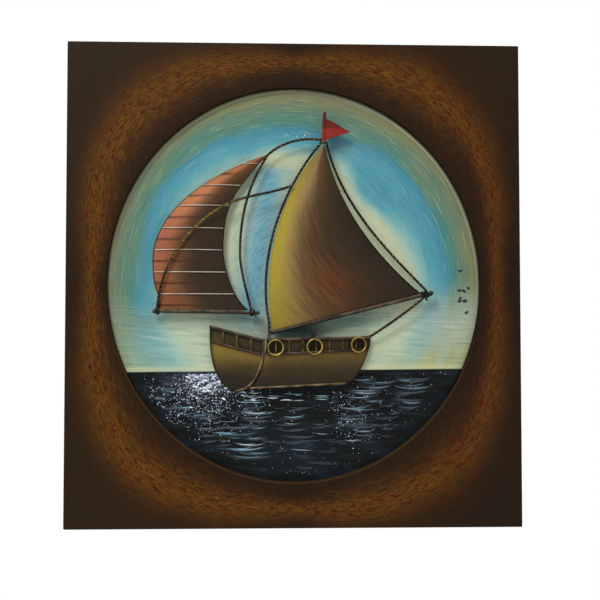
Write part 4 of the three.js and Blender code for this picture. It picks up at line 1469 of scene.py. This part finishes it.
def pennant(form):
    form.tube(pole_line.run(POLE_STEPS), worn(POLE_RADIUS), POLE_SIDES)
    rows = []
    for j in range(FLAG_ROWS + 1):
        row = []
        for i in range(FLAG_COLUMNS + 1):
            u, v = FLAG_REACH * i / FLAG_COLUMNS, j / FLAG_ROWS
            x = lerp(FLAG_FOOT[0], FLAG_TIP[0], u)
            z = lerp(lerp(FLAG_FOOT[1], FLAG_TOP[1], v), FLAG_TIP[1], u)
            row.append(at(x, z, MAIN_STAND_OFF + BOAT_SHEET / 2 + FLAG_WAVE * math.sin(u * math.pi * 1.5)))
        rows.append(row)
    form.sheet(rows, BOAT_SHEET, back=0)
    bent_tab(form, *FLAG_TAB, MAIN_STAND_OFF)


make("pennant_flag", pennant, [RED], ["pennant"])


# Twisted wires and their ties

STRAND_STEPS = 10
STRAND_SIDES = 6
STRAND_SHARE = 1.04
TIE_STEPS = 20
TIE_SHARE = 0.8
TIE_PITCH = 1.7 * TIE_RADIUS
TAIL_STEPS = 5


def tie_end(line, t, rod_radius, up, forward):
    """Where a wire meets the turns that tie it to a rod."""
    point = line.at(t)
    reach = rod_radius + GAP + TIE_RADIUS
    return [point.x, point.z + up * reach, BACKDROP_Y - point.y + forward * reach]


def twisted(form, line):
    """Two strands laid round each other along a line, the second with a material of its own, a lit copy with
    painted light.
    """
    turns = line.length / WIRE_PITCH
    steps = int(turns * STRAND_STEPS)
    middle = line.run(steps)
    frames = carried_frames(middle)
    strand = WIRE_RADIUS / 2
    for look in (0, 1):
        points = []
        for k, point in enumerate(middle):
            turn = math.pi * look + 2 * math.pi * turns * k / steps
            side, over = frames[k]
            points.append(point + side * (strand * math.cos(turn)) + over * (strand * math.sin(turn)))
        form.tube(points, strand * STRAND_SHARE, STRAND_SIDES, look=look)


def wound(form, line, t, rod_radius, turns, tail):
    """Turns of wire round a rod, with a short tail that stands off it."""
    along = line.tangent(t)
    side = along.cross(Vector((0, 0, 1))).normalized()
    up = side.cross(along)
    wire = TIE_RADIUS * TIE_SHARE
    reach = rod_radius + GAP + wire
    steps = int(turns * TIE_STEPS)
    points = []
    for k in range(steps + 1):
        turn = 2 * math.pi * turns * k / steps
        middle = line.at(t) + along * (TIE_PITCH * (turns * k / steps - turns / 2))
        points.append(middle + (up * math.cos(turn) + side * math.sin(turn)) * reach)
    if tail:
        end = points[-1]
        points += [end + Vector(tail) * (k / TAIL_STEPS) for k in range(1, TAIL_STEPS + 1)]
    form.tube(points, wire)


LEECH_TIE = 0.974
SHEET_TIE = 0.95
LUFF_TIE = 0.945
BRACE_TIE = 0.031
main_luff_wire = Line([[34.6, 185.6], [-22, 117.5], [-49, 28.3], [-34, -50],
                       [-33.4, -57, 20], [-33, -64, 24], [-34, -71.4, 24.9]], MAIN_STAND_OFF)
main_leech_wire = Line([[41.2, 186.6], [59.5, 106], [116.5, 47.5],
                        tie_end(main_boom_line, LEECH_TIE, MAIN_BOOM_RADIUS, 1, 0)], MAIN_STAND_OFF)
main_sheet_wire = Line([tie_end(main_boom_line, SHEET_TIE, MAIN_BOOM_RADIUS, -1, 0),
                        [149, -36, 18], [124, -54, 15], [98.9, -69.9, 11.9]], MAIN_STAND_OFF)
mizzen_luff_wire = Line([[34.4, 189.4, 18], [10.2, 193.2, 17], [-17.1, 186.9, 15.6], [-36, 169.1, 14.8],
                         [-62.4, 127.8, 14.2], [-71.9, 88.1, 14], [-71.9, 39.5, 14],
                         [-71.9, 18, 14], [-62.2, -15, 14],
                         tie_end(mizzen_boom_line, LUFF_TIE, MIZZEN_BOOM_RADIUS, 0, 1)], MIZZEN_STAND_OFF)
mizzen_brace_wire = Line([[-5, 127.4, 22.4], [-36, 115.6, 22.4], [-71.6, 114.8, 24], [-98.6, 97.8, 24.8],
                          [-145, 70.1, 26], [-176.5, 19.5, 22],
                          tie_end(mizzen_boom_line, BRACE_TIE, MIZZEN_BOOM_RADIUS, 0, 1)], MIZZEN_STAND_OFF)


def wire_piece(node, line, tie=None, materials=(WIRE, LIT_WIRE)):
    def build(form):
        twisted(form, line)
        if tie:
            wound(form, *tie)

    make(f"{node}_twist", build, materials, [node])


leech_tie = (main_boom_line, LEECH_TIE, MAIN_BOOM_RADIUS, 1.6, (1, -1, 5))
sheet_tie = (main_boom_line, SHEET_TIE, MAIN_BOOM_RADIUS, 1.6, (3, -1, -4))
luff_tie = (mizzen_boom_line, LUFF_TIE, MIZZEN_BOOM_RADIUS, 2.3, (2, -1, -3))
brace_tie = (mizzen_boom_line, BRACE_TIE, MIZZEN_BOOM_RADIUS, 1.6, None)
wire_piece("main_luff_wire", main_luff_wire)
wire_piece("main_leech_wire", main_leech_wire, leech_tie)
wire_piece("main_sheet_wire", main_sheet_wire, sheet_tie)
wire_piece("mizzen_luff_wire", mizzen_luff_wire, luff_tie)
wire_piece("mizzen_brace_wire", mizzen_brace_wire, brace_tie, (GOLD_WIRE, LIT_GOLD_WIRE))


# Solder where pieces meet

SOLDER_STEPS = 7
SOLDER_FROM = 0.06
SOLDER_TO = 0.88
SOLDER_RISE = 1.8
POST_TOP_Z = -53


def solder_lumps(form):
    lumps = [(at(37.6, 186.6, MAIN_STAND_OFF), (5.2, 2.6, 2.4)), (main_luff_wire.at(1), (2.6, 2.2, 2.4)),
             (mizzen_brace_wire.at(0), (2.4, 2.8, 2.2)), (main_sheet_wire.at(1), (2.6, 2.4, 2.2)),
             (main_boom_line.at(0), (3, 2.6, 2.8)), (at(POST_X, POST_TOP_Z, MAIN_STAND_OFF), (3, 2, 2))]
    for k in range(SOLDER_STEPS):
        foot = mizzen_boom_line.at(lerp(SOLDER_FROM, SOLDER_TO, (k + 0.5) / SOLDER_STEPS))
        lumps.append((foot + Vector((0, 0, SOLDER_RISE)), (1.8, 1.1, 1.6)))
    for seed, (place, radii) in enumerate(lumps, 1):
        form.blob(place, radii, seed)


make("solder_lumps", solder_lumps, [SOLDER])


# Floor, light and camera

FLOOR_Z = -1100
FLOOR_RADIUS = 1500
FLOOR_SIDES = 96
FLOOR_GLOW = 0.3
WORLD_LIGHT = 0.45


def floor():
    drop = FLOOR_Z - PANEL_MIDDLE_Z
    turns = circle(FLOOR_SIDES)
    rim = [Vector((FLOOR_RADIUS * math.cos(t), FLOOR_RADIUS * math.sin(t), drop)) for t in turns]
    piece = new_object("floor", rim, [tuple(range(FLOOR_SIDES))])
    paint = Paint("pale_floor", roughness=0.9, specular=0.1)
    speckle = paint.noise(paint.place(), 0.02, 3)
    colour = paint.ramp(speckle, [(0.3, "f4f4f2"), (0.7, "fbfbfa")])
    paint.shader.inputs["Emission Color"].default_value = (1, 1, 1, 1)
    paint.shader.inputs["Emission Strength"].default_value = FLOOR_GLOW
    piece.data.materials.append(paint.finish(colour))


def world():
    """An even white room: full white where it is seen, softer where it lights."""
    room = bpy.data.worlds.new("studio")
    bpy.context.scene.world = room
    room.use_nodes = True
    tree = room.node_tree
    background = tree.nodes["Background"]
    background.inputs["Color"].default_value = (1, 1, 1, 1)
    path = tree.nodes.new("ShaderNodeLightPath")
    strength = tree.nodes.new("ShaderNodeMapRange")
    strength.inputs["To Min"].default_value = WORLD_LIGHT
    strength.inputs["To Max"].default_value = 1.0
    tree.links.new(path.outputs["Is Camera Ray"], strength.inputs["Value"])
    tree.links.new(strength.outputs[0], background.inputs["Strength"])


PANEL_CENTRE = Vector((0, 0, PANEL_MIDDLE_Z * MM))


def area_light(name, place, size, watts):
    light = bpy.data.lights.new(name, "AREA")
    light.size = size
    light.energy = watts
    lamp = bpy.data.objects.new(name, light)
    lamp.location = place
    aim = PANEL_CENTRE - Vector(place)
    lamp.rotation_euler = aim.to_track_quat("-Z", "Y").to_euler()
    bpy.context.scene.collection.objects.link(lamp)


CAMERA_PLACE = Vector((-54.3, -1530, -401.5)) * MM
CAMERA_YAW = math.radians(2.34)
CAMERA_PITCH = math.radians(2.59)
CAMERA_LENS = 68.5


def camera():
    forward = Vector((math.sin(CAMERA_YAW) * math.cos(CAMERA_PITCH),
                      math.cos(CAMERA_YAW) * math.cos(CAMERA_PITCH), math.sin(CAMERA_PITCH)))
    right = Vector((math.cos(CAMERA_YAW), -math.sin(CAMERA_YAW), 0))
    up = right.cross(forward)
    lens = bpy.data.cameras.new("camera")
    lens.lens = CAMERA_LENS
    lens.sensor_width = 36
    lens.sensor_fit = "HORIZONTAL"
    eye = bpy.data.objects.new("camera", lens)
    axes = Matrix((right, up, -forward)).transposed()
    eye.matrix_world = Matrix.Translation(CAMERA_PLACE) @ axes.to_4x4()
    bpy.context.scene.collection.objects.link(eye)
    bpy.context.scene.camera = eye


floor()
world()
area_light("key", (-0.85, -1.7, 1.0), 0.7, 30)
area_light("fill", (1.3, -2.0, 0.2), 1.4, 6)
area_light("rear", (0.9, 1.8, 0.6), 1.6, 22)
camera()
bpy.context.scene.view_settings.view_transform = "Standard"
